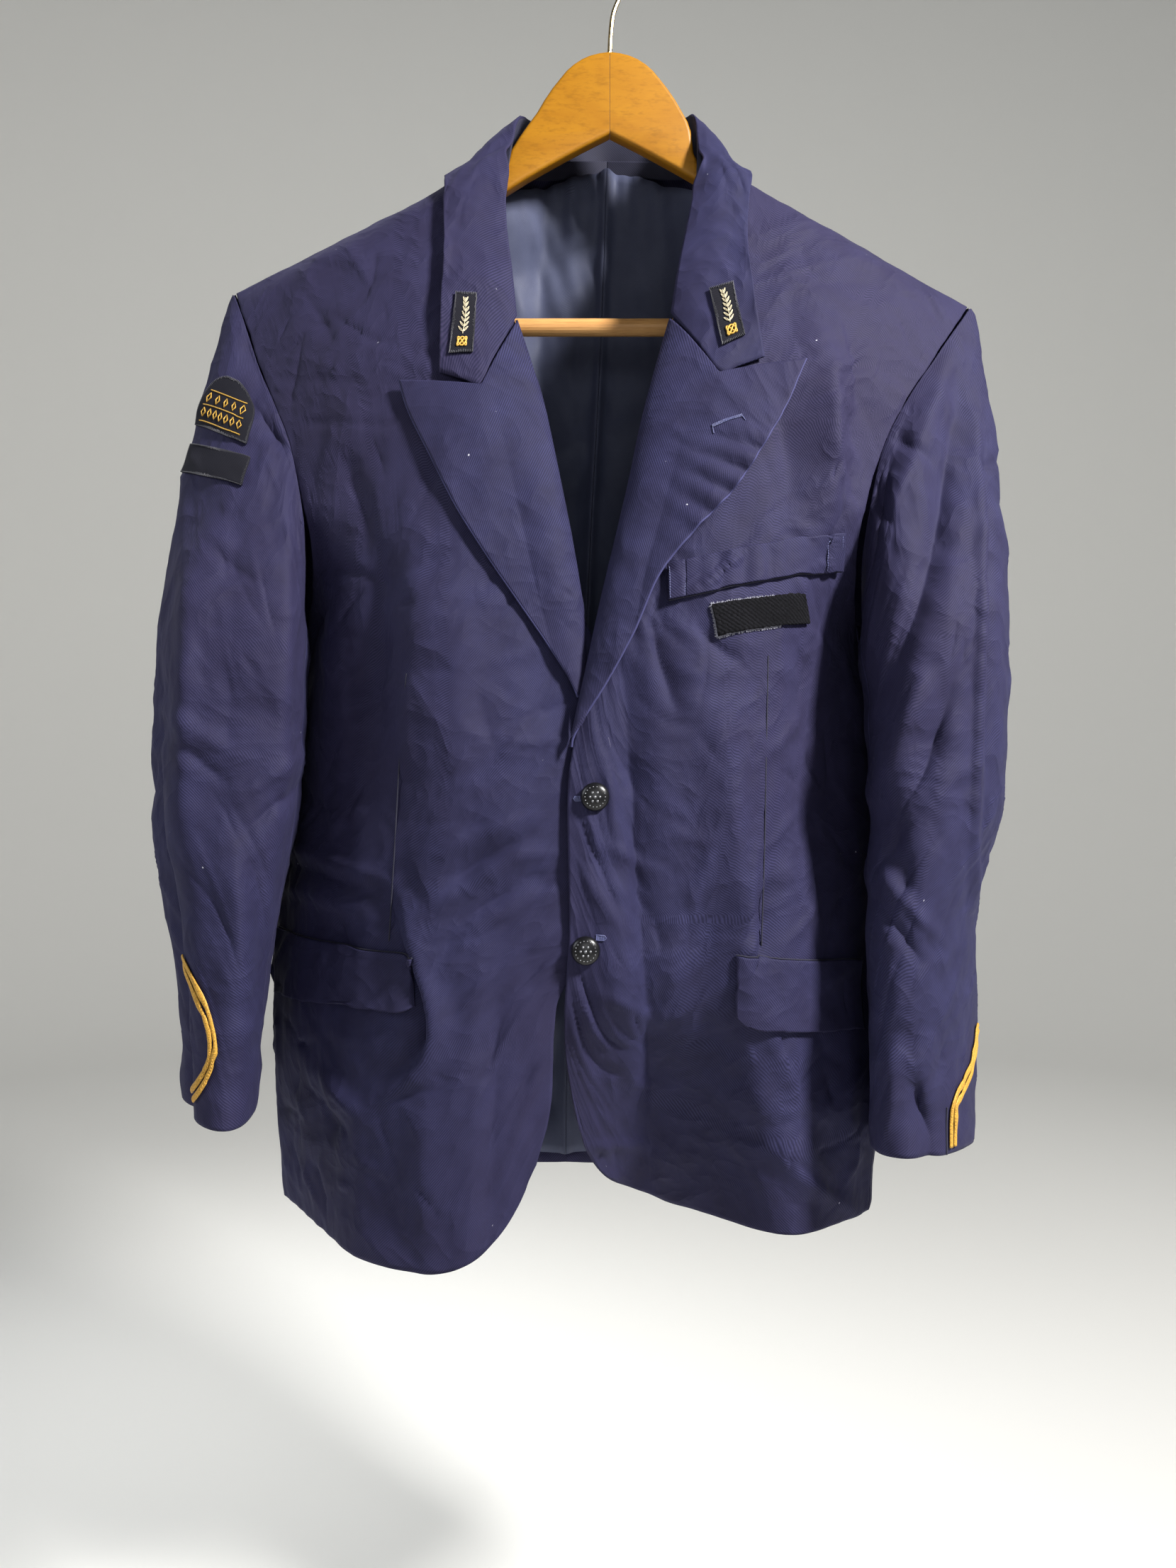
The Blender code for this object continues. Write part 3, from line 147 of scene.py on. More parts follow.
NECK_POINT = {"right": (-0.0745, 0.002, -0.1465), "left": (0.064, 0.002, -0.1465)}
SHOULDER_TIP = {"right": (-0.2495, -0.004, -0.2385), "left": (0.239, -0.004, -0.2475)}
NECK_STATION = BACK_STATIONS.index("neck")
FRONT_ON_SHOULDER = (0, 0.09, 0.21, 0.42, 0.68, 1)
BACK_ON_SHOULDER = (0, 0.42, 1)
UNDERARM_ROWS = 17
SIDE_BULGE = 0.009

# Each row is a level ring of a sleeve: its height at the front and the back, its middle, half its
# width and thickness, and the turn of its wide way from straight ahead, in degrees.
SLEEVES = {
    "right": (
        ("upper", -0.490, -0.490, -0.2465, -0.026, 0.078, 0.0450, 24),
        ("elbow", -0.580, -0.580, -0.2510, -0.024, 0.078, 0.0450, 22),
        ("forearm", -0.640, -0.640, -0.2530, -0.026, 0.076, 0.0345, 23),
        ("wrist", -0.700, -0.700, -0.2520, -0.027, 0.073, 0.0265, 20),
        ("cuff", -0.772, -0.758, -0.2540, -0.028, 0.070, 0.0215, 20),
    ),
    "left": (
        ("upper", -0.490, -0.490, 0.2090, -0.030, 0.077, 0.0450, 22),
        ("elbow", -0.580, -0.580, 0.2110, -0.034, 0.076, 0.0375, 25),
        ("forearm", -0.640, -0.640, 0.2015, -0.036, 0.074, 0.0300, 27),
        ("wrist", -0.700, -0.700, 0.2012, -0.036, 0.072, 0.0285, 28),
        ("cuff", -0.786, -0.800, 0.2015, -0.037, 0.072, 0.0265, 28),
    ),
}
CAP_OUT = {"right": 0.03, "left": 0.08}
CAP_RINGS = 8
SLEEVE_RINGS = 13
SLEEVE_ROWS = 210
# Each piece of a sleeve: the turns of its two seams from the shoulder line, its columns, its small
# creases, and whether it looks outward or back to the body.
SLEEVE_PIECES = {"upper": (0.86 - 1, 0.40, 124, 130, 1), "under": (0.40, 0.86, 44, 45, -1)}
ARMHOLE_POINTS = 201
ARMHOLE_OUT = 0.0018
UNDERARM_OUT = 0.0074
UNDERARM_RISE = 0.0020
CAP_FALL = 0.25
COLLAR_COLUMNS = 31
STAND_COLUMNS = 25
COLLAR_GAP = 0.0009
GORGE_TOP = -0.262
LINING_DEPTH = 0.0034
LINING_TOP = 0.40
LINING_FALL = 2.2
LINING_CURVE = 2.2
BAND_DEPTH = 0.0018
LINING_SHARE = 0.86
LINING_GRID = (110, 80)
# The lining's long folds: how many there are across it, how deep, and how far they are shifted.
LINING_FOLDS = ((2.6, 0.0046, 0.9), (5.1, 0.0020, 2.6), (9.0, 0.0007, 0.2))

# The fold line and the outer edge of the collar, from the right front round to the left.
COLLAR = (
    ("right front", (-0.0655, -0.044, -0.2366), (-0.1054, -0.0690, -0.2700)),
    ("right side", (-0.0705, -0.026, -0.1960), (-0.1053, -0.0510, -0.2250)),
    ("right neck", (-0.0625, -0.001, -0.1225), (-0.1060, -0.0220, -0.1790)),
    ("right nape", (-0.0520, 0.034, -0.1020), (-0.0930, 0.0310, -0.1560)),
    ("right back", (-0.0320, 0.052, -0.0970), (-0.0480, 0.0680, -0.1480)),
    ("centre", (0.0000, 0.058, -0.0950), (-0.0010, 0.0750, -0.1460)),
    ("left back", (0.0290, 0.052, -0.0970), (0.0430, 0.0680, -0.1480)),
    ("left nape", (0.0475, 0.034, -0.1020), (0.0800, 0.0310, -0.1560)),
    ("left neck", (0.0575, -0.001, -0.1195), (0.0890, -0.0180, -0.1740)),
    ("left side", (0.0560, -0.024, -0.1880), (0.0860, -0.0500, -0.2200)),
    ("left front", (0.0455, -0.044, -0.2320), (0.0885, -0.0680, -0.2660)),
)
FALL_BULGE = 0.0040
COLLAR_LIFT = 0.0062
GORGE_LIFT = 0.0030

LAPEL_GRID = (150, 56)
# Each row is a line across a lapel, from its foot up: (x, z) on the roll line and on the outer edge.
LAPELS = {
    "right": (
        ((-0.0185, -0.5080), (-0.0215, -0.5151)),
        ((-0.0175, -0.4850), (-0.0270, -0.5033)),
        ((-0.0190, -0.4600), (-0.0390, -0.4842)),
        ((-0.0230, -0.4340), (-0.0545, -0.4617)),
        ((-0.0290, -0.4030), (-0.0720, -0.4354)),
        ((-0.0360, -0.3680), (-0.0915, -0.4038)),
        ((-0.0430, -0.3350), (-0.1075, -0.3712)),
        ((-0.0510, -0.3050), (-0.1217, -0.3420)),
        ((-0.0600, -0.2760), (-0.1284, -0.3214)),
    ),
    "left": (
        ((-0.0225, -0.5400), (-0.0245, -0.5450)),
        ((-0.0190, -0.5200), (-0.0185, -0.5330)),
        ((-0.0125, -0.4900), (-0.0025, -0.5084)),
        ((-0.0050, -0.4550), (0.0140, -0.4780)),
        ((0.0040, -0.4150), (0.0290, -0.4460)),
        ((0.0125, -0.3800), (0.0490, -0.4190)),
        ((0.0185, -0.3500), (0.0700, -0.3930)),
        ((0.0260, -0.3180), (0.0960, -0.3500)),
        ((0.0380, -0.2740), (0.1172, -0.3088)),
    ),
}
# (x, z) of the collar's lower outer corner, and of the point where the gorge seam reaches its edge.
NOTCH = {"right": (-0.1047, -0.3169), "left": (0.0925, -0.3065)}
GORGE = {"right": (-0.0800, -0.3265), "left": (0.0650, -0.3195)}
LAPEL_CORNER = 3 / 7
COLLAR_CORNER = 3 / 6
ROLL_RADIUS = 0.0034
LAPEL_LIFT = 0.0030
LAPEL_SWELL = 0.0030
DIP_FADE = 2.6 / 15
RUFFLES = 17
RUFFLE_DEPTH = 0.0024
LEFT_RISE = 0.0090
# The buttonhole of the left lapel: places of the picture along its sides, and the first of its bars.
LAPEL_HOLE = ((1005, 620), (1003, 608), (1043, 593), (1048, 602))
LAPEL_HOLE_BAR = ((1003, 607), (1004, 611))

# (x, z) of the ends of a flap's top edge, its height at each end, and how high and how far along the
# corner of its front end is rounded.
FLAPS = {
    "right": ((-0.1170, -0.6690), (-0.2240, -0.6640), 0.033, 0.044, 0.0035, 0.05),
    "left": ((0.0745, -0.6690), (0.1620, -0.6810), 0.043, 0.044, 0.0075, 0.15),
}
WELT_ENDS = ((0.0335, -0.4575), (0.1415, -0.4315))
WELT_HEIGHT = 0.0215
WELT_TABS = (0.085, 0.905)  # where the stitched ends of the chest welt stop, shares of its length
WELT_GRID = (130, 26)
CHEST_STRIP = ((0.0583, -0.4606), (0.1154, -0.4495), 0.0170)
# The corners of the collar patches in front view: lower left, lower right, upper right, upper left.
COLLAR_PATCHES = {
    "right": ((-0.0990, -0.3048), (-0.0850, -0.3040), (-0.0838, -0.2636), (-0.0965, -0.2636)),
    "left": ((0.0675, -0.2992), (0.0812, -0.2925), (0.0752, -0.2560), (0.0610, -0.2600)),
}
STRIP_LEAN = 0.0040
BADGE_WAY = (-0.5, -1, 0)
SHOULDER_PATCH = {"turn": 0.080, "half_turn": 0.071, "foot_z": -0.3440, "height": 0.0380, "slope": 0.14}
SLEEVE_STRIP = {"turns": (0.010, 0.168), "top_z": -0.3480, "slope": 0.0160, "height": 0.0190}
TURN_LENGTH = 0.42
BUTTONS = {"upper": (-0.0105, -0.5735), "lower": (-0.0160, -0.6635)}
BUTTON_RADIUS = 0.0085
BUTTON_HEIGHT = 0.0050
SHANK_RADIUS = 0.0016
# The crest's beads: how far out each ring of them is, how many it has, and their radius.
CREST_BEADS = ((0.70, 18, 0.00042), (0.34, 6, 0.0008), (0.0, 1, 0.0010))
# Which way each buttonhole goes from its button and how far it is above it, then its outline.
BUTTONHOLES = {"upper": (-1, -0.0012), "lower": (1, 0.0075)}
BUTTONHOLE_LOOP = ((0.0060, 0.0015), (0.0112, 0.0015), (0.0124, 0.0), (0.0112, -0.0015), (0.0060, -0.0015))

BRAID_WIDTH = 0.0036
BRAID_PITCH = 0.0058

HANGER_THICK = 0.011
HANGER_ROUND = 0.0025
HANGER_UNDER = 0.0052
HANGER_TOP = (
    (0.0, -0.0750), (0.0100, -0.0765), (0.0190, -0.0800), (0.0270, -0.0857), (0.0330, -0.0925),
    (0.0415, -0.1035), (0.0487, -0.1156),
)
HANGER_NECK = {
    "right": ((0.0572, -0.1272), (0.0664, -0.1410), (0.0700, -0.1520), (0.0800, -0.1615)),
    "left": ((0.0535, -0.1250), (0.0553, -0.1350), (0.0575, -0.1470), (0.0660, -0.1590)),
}
HANGER_SHOULDER = (0.105, 0.205)
# The arm's rounded end, measured from the end of its shoulder line, then its foot, where the bar is
# held, and its lower edge back to the notch in the middle.
HANGER_TAIL = ((0.0, 0.0), (0.0075, -0.0090), (0.0030, -0.0220), (-0.0150, -0.0400))
HANGER_FOOT = ((0.1760, -0.2690), (0.1660, -0.2690), (0.1590, -0.2560))
HANGER_BELOW = ((0.1230, -0.2080), (0.0700, -0.1690), (0.0300, -0.1455), (0.0, -0.1300))

# The largest creases of the cloth: which piece, a line in front view from (x, z) to (x, z), half its
# width, and how far the cloth goes out (+) or in (-) along it.
CREASES = (
    ("front_right", (-0.1000, -0.600), (-0.1150, -0.730), 0.014, 0.007),
    ("front_right", (-0.1080, -0.480), (-0.1130, -0.600), 0.022, 0.005),
    ("front_right", (-0.1500, -0.430), (-0.1420, -0.560), 0.016, -0.006),
    ("front_right", (-0.1950, -0.640), (-0.1100, -0.590), 0.010, 0.004),
    ("front_right", (-0.1870, -0.747), (-0.1300, -0.800), 0.012, 0.004),
    ("front_left", (0.0080, -0.620), (0.0200, -0.800), 0.012, 0.005),
    ("front_left", (0.0480, -0.560), (0.0560, -0.740), 0.014, -0.006),
    ("front_left", (0.1290, -0.275), (0.1370, -0.390), 0.010, 0.006),
    ("front_left", (0.0700, -0.740), (0.1450, -0.830), 0.010, 0.004),
    ("back_right", (-0.0600, -0.420), (-0.0800, -0.780), 0.018, 0.005),
    ("back_left", (0.0500, -0.430), (0.0500, -0.790), 0.018, 0.005),
    ("back_left", (0.1100, -0.560), (0.1300, -0.820), 0.016, -0.005),
)
# The long folds of the sleeves: height of its two ends, angle round the ring at each end in turns
# from the shoulder's front, half its width in turns, and how far the cloth goes out or in.
SLEEVE_FOLDS = {
    "right": (
        (-0.520, -0.775, 0.020, 0.075, 0.030, -0.014),
        (-0.400, -0.700, 0.120, 0.150, 0.035, 0.005),
        (-0.460, -0.640, 0.300, 0.330, 0.035, 0.004),
        (-0.600, -0.690, 0.560, 0.600, 0.045, -0.006),
    ),
    "left": (
        (-0.380, -0.560, 0.160, 0.230, 0.040, -0.006),
        (-0.600, -0.640, 0.300, 0.220, 0.030, -0.006),
        (-0.735, -0.810, 0.220, 0.140, 0.028, -0.006),
        (-0.600, -0.690, 0.560, 0.600, 0.045, -0.006),
    ),
}

# Where the picture is taken from, its size, its focal length in pixels, and where the fronts lie in it.
CAMERA = (-0.0146, -0.80, -0.566)
PICTURE = (1659, 2212)
FOCAL = 1675
PICTURE_DEPTH = -0.085
PIXELS_PER_MM = 2.2
# Each lamp's place, what it is aimed at, its spread in degrees, size, power and colour.
CHEST = (0.0, 0.0, -0.45)
LAMPS = (
    ("key", (1.16, -1.00, 0.58), CHEST, 180, 0.28, 102, (1.0, 0.98, 0.96)),
    ("side", (-1.7, -0.5, 0.3), CHEST, 180, 0.9, 13, (0.90, 0.94, 1.0)),
    ("front", (0.0, -2.4, -0.2), CHEST, 180, 1.0, 9, (0.95, 0.97, 1.0)),
    ("rim", (0.4, 1.6, 0.9), CHEST, 180, 1.2, 2, (1.0, 1.0, 1.0)),
    ("wall", (0.0, 1.0, 2.2), (0.0, 4.0, 1.2), 180, 2.2, 28, (1.0, 1.0, 0.99)),
    ("floor", (-0.65, 0.9, 1.0), (-0.50, 0.50, -1.25), 50, 0.8, 3.6, (1.0, 1.0, 1.0)),
)

# Two rows of braid go up each cuff: (turns from the shoulder line, z) from the hem up.
CUFF_BRAID = {
    "right": ((0.130, -0.7580), (0.157, -0.7515), (0.186, -0.7425), (0.206, -0.7330), (0.212, -0.7225),
              (0.206, -0.7120), (0.190, -0.7010), (0.165, -0.6900), (0.135, -0.6780), (0.105, -0.6690)),
    "left": ((0.098, -0.7850), (0.096, -0.7700), (0.094, -0.7600), (0.080, -0.7530), (0.050, -0.7480),
             (0.015, -0.7420), (-0.020, -0.7330), (-0.055, -0.7210)),
}
# Places of the picture along each front's dart.
DARTS = {
    "right": ((576, 950), (566, 1080), (558, 1200), (550, 1328)),
    "left": ((1082, 925), (1078, 1080), (1076, 1200), (1074, 1335)),
}
# How many rows, columns and small creases each kind of body panel has, and how deep those creases are.
BODY_GRIDS = {"front": (250, 140, 210), "side": (120, 24, 30), "back": (130, 64, 110)}
CREASE_SEED = 117
BODY_CREASE = 0.0026
SLEEVE_CREASE = 0.0015
# The small unevenness of each kind of piece: height, size and seed of each layer of it.
UNEVEN = {
    "body": ((0.0011, 0.075, 3), (0.00045, 0.026, 4), (0.00018, 0.010, 5)),
    "sleeve": ((0.0012, 0.06, 7), (0.0005, 0.022, 8), (0.00018, 0.009, 9)),
    "lapel": ((0.0003, 0.03, 11),),
    "collar": ((0.0005, 0.05, 13), (0.0002, 0.015, 14)),
    "lining": ((0.0046, 0.045, 21), (0.0014, 0.018, 22)),
}
# How much wider the sides of the body are than in the plain panels, beyond this distance.
WIDEN = {"left": 0.0055, "right": 0.0015}
WIDEN_FROM = 0.115
FOLD_GAIN = 1.9
# Folds of each front and sleeve: points (x, y) of the picture along the fold, its half width and how
# far the cloth goes out (+) or in (-), both in millimetres.
FOLDS = {
    "front_right": (
        (((660, 860), (655, 1160)), 26, 4.0),
        (((530, 770), (528, 1100)), 14, -4.0),
        (((463, 796), (542, 825)), 3.0, -1.6),
        (((431, 597), (565, 602)), 2.6, -0.9),
        (((398, 1186), (560, 1246)), 5, 2.2),
        (((398, 1215), (530, 1262)), 4, -2.0),
        (((400, 1245), (540, 1296)), 5, 1.8),
        (((575, 1270), (590, 1345), (610, 1400), (620, 1460), (600, 1512), (556, 1542)), 6, 4.0),
        (((556, 1290), (570, 1350), (588, 1405), (596, 1452), (580, 1495), (540, 1520)), 6, -3.2),
        (((748, 1150), (620, 1208)), 5, 2.0),
        (((748, 1176), (640, 1236)), 4, -1.5),
        (((750, 1200), (622, 1275)), 5, 2.0),
        (((752, 1232), (650, 1300)), 4, -1.5),
        (((752, 1260), (640, 1340)), 5, 1.6),
        (((437, 1531), (486, 1595)), 5, -2.6),
        (((455, 1510), (512, 1580)), 5, 1.6),
        (((430, 420), (470, 490)), 6, -1.6),
        (((480, 640), (520, 760)), 9, -2.2),
        (((610, 1560), (600, 1740)), 12, 2.6),
        (((520, 1600), (560, 1750)), 10, -2.0),
        (((700, 1420), (680, 1700)), 11, -2.0),
    ),
    "front_left": (
        (((1150, 480), (1158, 600), (1164, 735)), 13, 5.0),
        (((1207, 480), (1206, 690)), 10, -3.4),
        (((1176, 450), (1214, 606)), 4, 1.7),
        (((1085, 520), (1120, 640), (1118, 720)), 11, -3.2),
        (((1118, 431), (1139, 530)), 8, -1.8),
        (((916, 865), (957, 1000)), 6, -3.0),
        (((980, 880), (1050, 940)), 6, -2.6),
        (((885, 960), (905, 1200), (925, 1450), (955, 1690)), 13, -6.0),
        (((1010, 1000), (1030, 1300), (1045, 1560)), 15, 5.0),
        (((1000, 1180), (962, 1300)), 4, 1.6),
        (((1060, 1195), (1020, 1330)), 4, 1.6),
        (((1090, 1230), (1060, 1335)), 5, -1.6),
        (((1000, 1420), (1052, 1500)), 4, 1.8),
        (((1085, 1470), (1130, 1560)), 5, 2.0),
        (((985, 1530), (1095, 1640), (1200, 1712)), 5, 3.0),
        (((1000, 1580), (1120, 1690)), 5, -2.0),
        (((1045, 1640), (1088, 1735)), 4, 2.0),
        (((826, 1615), (925, 1612)), 4, 1.6),
        (((1150, 900), (1165, 1300)), 20, -5.0),
        (((850, 1190), (930, 1230)), 4, 1.5),
        (((845, 1400), (930, 1440)), 5, 1.4),
        (((1180, 1450), (1190, 1690)), 7, 2.6),
    ),
    "sleeve_right": (
        (((404, 690), (400, 1150)), 7, 3.2),
        (((335, 700), (318, 1150)), 18, -3.4),
        (((268, 640), (258, 1150)), 6, 2.4),
        (((347, 480), (393, 562)), 6, -3.4),
        (((357, 575), (395, 622), (430, 622)), 5, -3.0),
        (((372, 520), (412, 600)), 5, 2.2),
        (((232, 1000), (330, 1065)), 5, 2.0),
        (((236, 1040), (322, 1105)), 4, -1.8),
        (((424, 1060), (336, 1130)), 5, 2.0),
        (((424, 1100), (350, 1170)), 4, -1.8),
        (((330, 1200), (340, 1400)), 7, 2.4),
        (((366, 1230), (362, 1480)), 6, -2.0),
        (((300, 780), (380, 830)), 5, -1.4),
    ),
    "sleeve_left": (
        (((1379, 580), (1381, 900), (1370, 1280)), 3.0, 3.2),
        (((1394, 620), (1397, 900), (1386, 1260)), 3.5, -3.0),
        (((1378, 500), (1310, 800), (1234, 990)), 12, -6.0),
        (((1340, 470), (1290, 640), (1240, 760)), 8, 2.6),
        (((1259, 617), (1312, 652)), 4, -2.0),
        (((1230, 688), (1258, 740)), 4, -2.2),
        (((1302, 960), (1245, 1118)), 8, 4.0),
        (((1340, 980), (1290, 1120)), 6, -2.2),
        (((1225, 1098), (1239, 1144), (1231, 1260)), 4, 2.2),
        (((1233, 1263), (1296, 1356)), 5, -2.6),
        (((1250, 1240), (1330, 1330)), 5, 2.2),
        (((1327, 1470), (1326, 1525)), 7, -3.0),
        (((1284, 1535), (1312, 1612)), 6, -3.2),
        (((1262, 1500), (1252, 1610)), 6, 2.0),
        (((1345, 700), (1330, 1000)), 10, 2.4),
    ),
}
# Folds of the back and of the under sleeves: (x, z) points, half width and depth in millimetres.
BACK_FOLDS = (
    (((-0.090, -0.300), (-0.105, -0.520), (-0.120, -0.840)), 14, 3.4),
    (((-0.150, -0.330), (-0.150, -0.560)), 12, -3.0),
    (((-0.050, -0.520), (-0.060, -0.840)), 12, -2.6),
    (((0.070, -0.300), (0.085, -0.540), (0.090, -0.840)), 14, 3.4),
    (((0.125, -0.330), (0.120, -0.560)), 12, -3.0),
    (((0.020, -0.500), (0.025, -0.840)), 12, -2.4),
    (((-0.180, -0.560), (-0.090, -0.600)), 6, 2.0),
    (((0.150, -0.550), (0.070, -0.590)), 6, 2.0),
    (((-0.060, -0.150), (-0.120, -0.240)), 8, -1.8),
    (((0.050, -0.150), (0.110, -0.240)), 8, -1.8),
    (((-0.170, -0.700), (-0.150, -0.840)), 9, 2.4),
    (((0.150, -0.700), (0.135, -0.840)), 9, 2.4),
)


def through(rows, steps):
    """Points on the smooth curve through the rows, at the given steps counted in rows."""
    rows = np.asarray(rows, float)
    first, last = 2 * rows[0] - rows[1], 2 * rows[-1] - rows[-2]
    knots = np.concatenate([first[None], rows, last[None]])
    steps = np.clip(np.asarray(steps, float), 0, len(rows) - 1)
    low = np.minimum(steps.astype(int), len(rows) - 2)
    part = (steps - low).reshape((-1,) + (1,) * (rows.ndim - 1))
    a, b, c, d = (knots[low + k] for k in range(4))
    bend = 2 * a - 5 * b + 4 * c - d
    curl = 3 * (b - c) + d - a
    return b + 0.5 * part * (c - a + part * (bend + part * curl))


def along(route):
    """How far each point of a route lies from its start."""
    return np.concatenate([[0], np.cumsum(np.linalg.norm(np.diff(route, axis=0), axis=1))])


def place_at(route, far, s):
    """Where on a route the measure far, which each of its points has, reaches s."""
    return np.array([np.interp(s, far, route[:, k]) for k in range(3)])


def even_steps(rows, count):
    """Steps that space count points evenly by length along the curve through the rows."""
    fine = np.linspace(0, len(rows) - 1, 40 * len(rows))
    far = along(through(rows, fine))
    return np.interp(np.linspace(0, far[-1], count), far, fine)


def unit(ways):
    return ways / np.maximum(np.linalg.norm(ways, axis=-1, keepdims=True), 1e-9)


def between(a, b, shares):
    shares = np.asarray(shares, float)[:, None]
    return np.asarray(a) * (1 - shares) + np.asarray(b) * shares


def refined(grid, rows, columns):
    """The same surface with this many rows and columns."""
    grid = through(grid, np.linspace(0, len(grid) - 1, rows)).transpose(1, 0, 2)
    return through(grid, np.linspace(0, len(grid) - 1, columns)).transpose(1, 0, 2)


def quad_grid(corners, across, up):
    """(x, z) points filling four corners given as lower left, lower right, upper right, upper left."""
    low = between(corners[0], corners[1], np.linspace(0, 1, across))
    high = between(corners[3], corners[2], np.linspace(0, 1, across))
    return [low * (1 - t) + high * t for t in np.linspace(0, 1, up)]


def normals_of(grid):
    return unit(np.cross(np.gradient(grid, axis=1), np.gradient(grid, axis=0)))


def facing(grid, way=AHEAD):
    normal = normals_of(grid)
    return -normal if (normal.reshape(-1, 3) @ np.array(way)).mean() < 0 else normal


def normals_once(grid):
    """The grid's normals towards the front, worked out once."""
    if (id(grid), "normals") not in KEPT:
        KEPT[id(grid), "normals"] = grid, facing(grid)
    return KEPT[id(grid), "normals"][1]


def faces_of(grid):
    index = np.arange(grid.shape[0] * grid.shape[1]).reshape(grid.shape[:2])
    return np.stack([index[:-1, :-1], index[:-1, 1:], index[1:, 1:], index[1:, :-1]], axis=-1).reshape(-1, 4)


def tree_of(*grids):
    """A search tree over the faces of some grids, row by row."""
    points, faces = [], []
    for grid in grids:
        faces += (faces_of(grid) + len(points)).tolist()
        points += grid.reshape(-1, 3).tolist()
    return BVHTree.FromPolygons(points, faces)


def tree_once(grid):
    """The grid's search tree, made once."""
    if id(grid) not in KEPT:
        KEPT[id(grid)] = grid, tree_of(grid)
    return KEPT[id(grid)][1]


def column_at(grid, x, z):
    """The column of the grid, counted with parts, that passes through x at the height z."""
    across = np.array([np.interp(z, line[:, 2], line[:, 0]) for line in grid.transpose(1, 0, 2)])
    if across[-1] < across[0]:
        across, x = -across, -x
    return np.interp(x, np.maximum.accumulate(across), np.arange(len(across)))


def inside_cell(field, row, column, rise, part):
    """A field's value inside one cell of its grid."""
    low = field[row, column] * (1 - part) + field[row, column + 1] * part
    high = field[row + 1, column] * (1 - part) + field[row + 1, column + 1] * part
    return low * (1 - rise) + high * rise


def on_panel(grid, column, z, lift):
    """The point of a panel at a column and a height, moved out by lift from its outer face."""
    low = min(int(column), grid.shape[1] - 2)
    part = column - low
    heights = grid[:, low, 2] * (1 - part) + grid[:, low + 1, 2] * part
    row = np.interp(z, heights, np.arange(len(heights)))
    level = min(int(row), len(heights) - 2)
    point = inside_cell(grid, level, low, row - level, part)
    return point + unit(inside_cell(normals_once(grid), level, low, row - level, part)) * (CLOTH + lift)


def at(grid, x, z, lift=ON_CLOTH):
    """The point of a panel seen at (x, z) from the front, moved out by lift from its outer face."""
    hit, _, face, _ = tree_once(grid).ray_cast(Vector((x, -1, z)), Vector(BEHIND))
    if hit is None:
        return on_panel(grid, column_at(grid, x, z), z, lift)
    row, column = divmod(face, grid.shape[1] - 1)
    corner, hit = grid[row, column], np.array(hit)
    over, up = grid[row, column + 1] - corner, grid[row + 1, column] - corner
    part = float(np.clip((hit - corner) @ over / (over @ over), 0, 1))
    rise = float(np.clip((hit - corner) @ up / (up @ up), 0, 1))
    return hit + unit(inside_cell(normals_once(grid), row, column, rise, part)) * (CLOTH + lift)


def all_at(grid, flat, lift):
    """Points of a panel seen at these (x, z), raised by one lift or by one for each."""
    return np.array([at(grid, x, z, up) for (x, z), up in zip(flat, np.broadcast_to(lift, len(flat)))])


def cast_on(grid, flat, lift):
    """Where (x, z) points of the front view meet a surface, moved out by lift from its outer face."""
    tree = tree_once(grid)
    points = np.array([[tree.ray_cast(Vector((x, -1, z)), Vector(BEHIND))[0] for x, z in row]
                       for row in flat])
    return points + facing(points) * (CLOTH + lift)


def on_grid(grid, places, lift):
    """Points over a small piece at (across, up) shares of it, raised by lift."""
    out = facing(grid)
    found = []
    for u, v in places:
        column, row = u * (grid.shape[1] - 1), v * (grid.shape[0] - 1)
        i, j = min(int(row), grid.shape[0] - 2), min(int(column), grid.shape[1] - 2)
        found.append(inside_cell(grid, i, j, row - i, column - j) + out[i, j] * lift)
    return np.array(found)


def spot(px, py, y=PICTURE_DEPTH):
    """The (x, z) that a place of the picture shows, at the depth y."""
    size = (y - CAMERA[1]) / FOCAL
    return CAMERA[0] + (px - PICTURE[0] / 2) * size, CAMERA[2] + (PICTURE[1] / 2 - py) * size


def seen(points):
    """The places of the picture where these points show."""
    size = (points[..., 1] - CAMERA[1]) / FOCAL
    return np.stack([
        PICTURE[0] / 2 + (points[..., 0] - CAMERA[0]) / size,
        PICTURE[1] / 2 - (points[..., 2] - CAMERA[2]) / size,
    ], axis=-1)


def on_front(grid, places, lift):
    """Points on a front where the picture shows these places."""
    found = []
    for place in places:
        y = PICTURE_DEPTH
        for _ in range(3):
            point = at(grid, *spot(*place, y), lift)
            y = point[1]
        found.append(point)
    return np.array(found)


def kept_off(grid, trees, gap, way, reach=0.02):
    """The grid, moved wherever it is nearer than the gap to panels within reach, the way it leads."""
    moved = grid.copy()
    for i, row in enumerate(grid):
        for j, point in enumerate(row):
            found = (tree.find_nearest(Vector(point), reach) for tree in trees)
            near, normal, _, _ = min(found, key=lambda hit: hit[3] or 9)
            if near is None:
                continue
            normal = np.array(normal)
            if normal @ way(point) < 0:
                normal = -normal
            rise = (point - np.array(near)) @ normal
            if rise < gap:
                moved[i, j] = point + normal * (gap - rise)
    return moved


def section(z_first, z_last, bend, pairs):
    """A section's stations, with their height changing from the first to the last of them."""
    flat = np.array(pairs)
    share = (flat[:, 0] - flat[0, 0]) / (flat[-1, 0] - flat[0, 0])
    return np.column_stack([flat, z_last + (z_first - z_last) * (1 - share) ** bend])


def front_stations(side):
    rows = [section(first, last, bend, pairs) for _, first, last, bend, *pairs in FRONTS[side]]
    return np.array(rows + [between(NECK_POINT[side], SHOULDER_TIP[side], FRONT_ON_SHOULDER)])


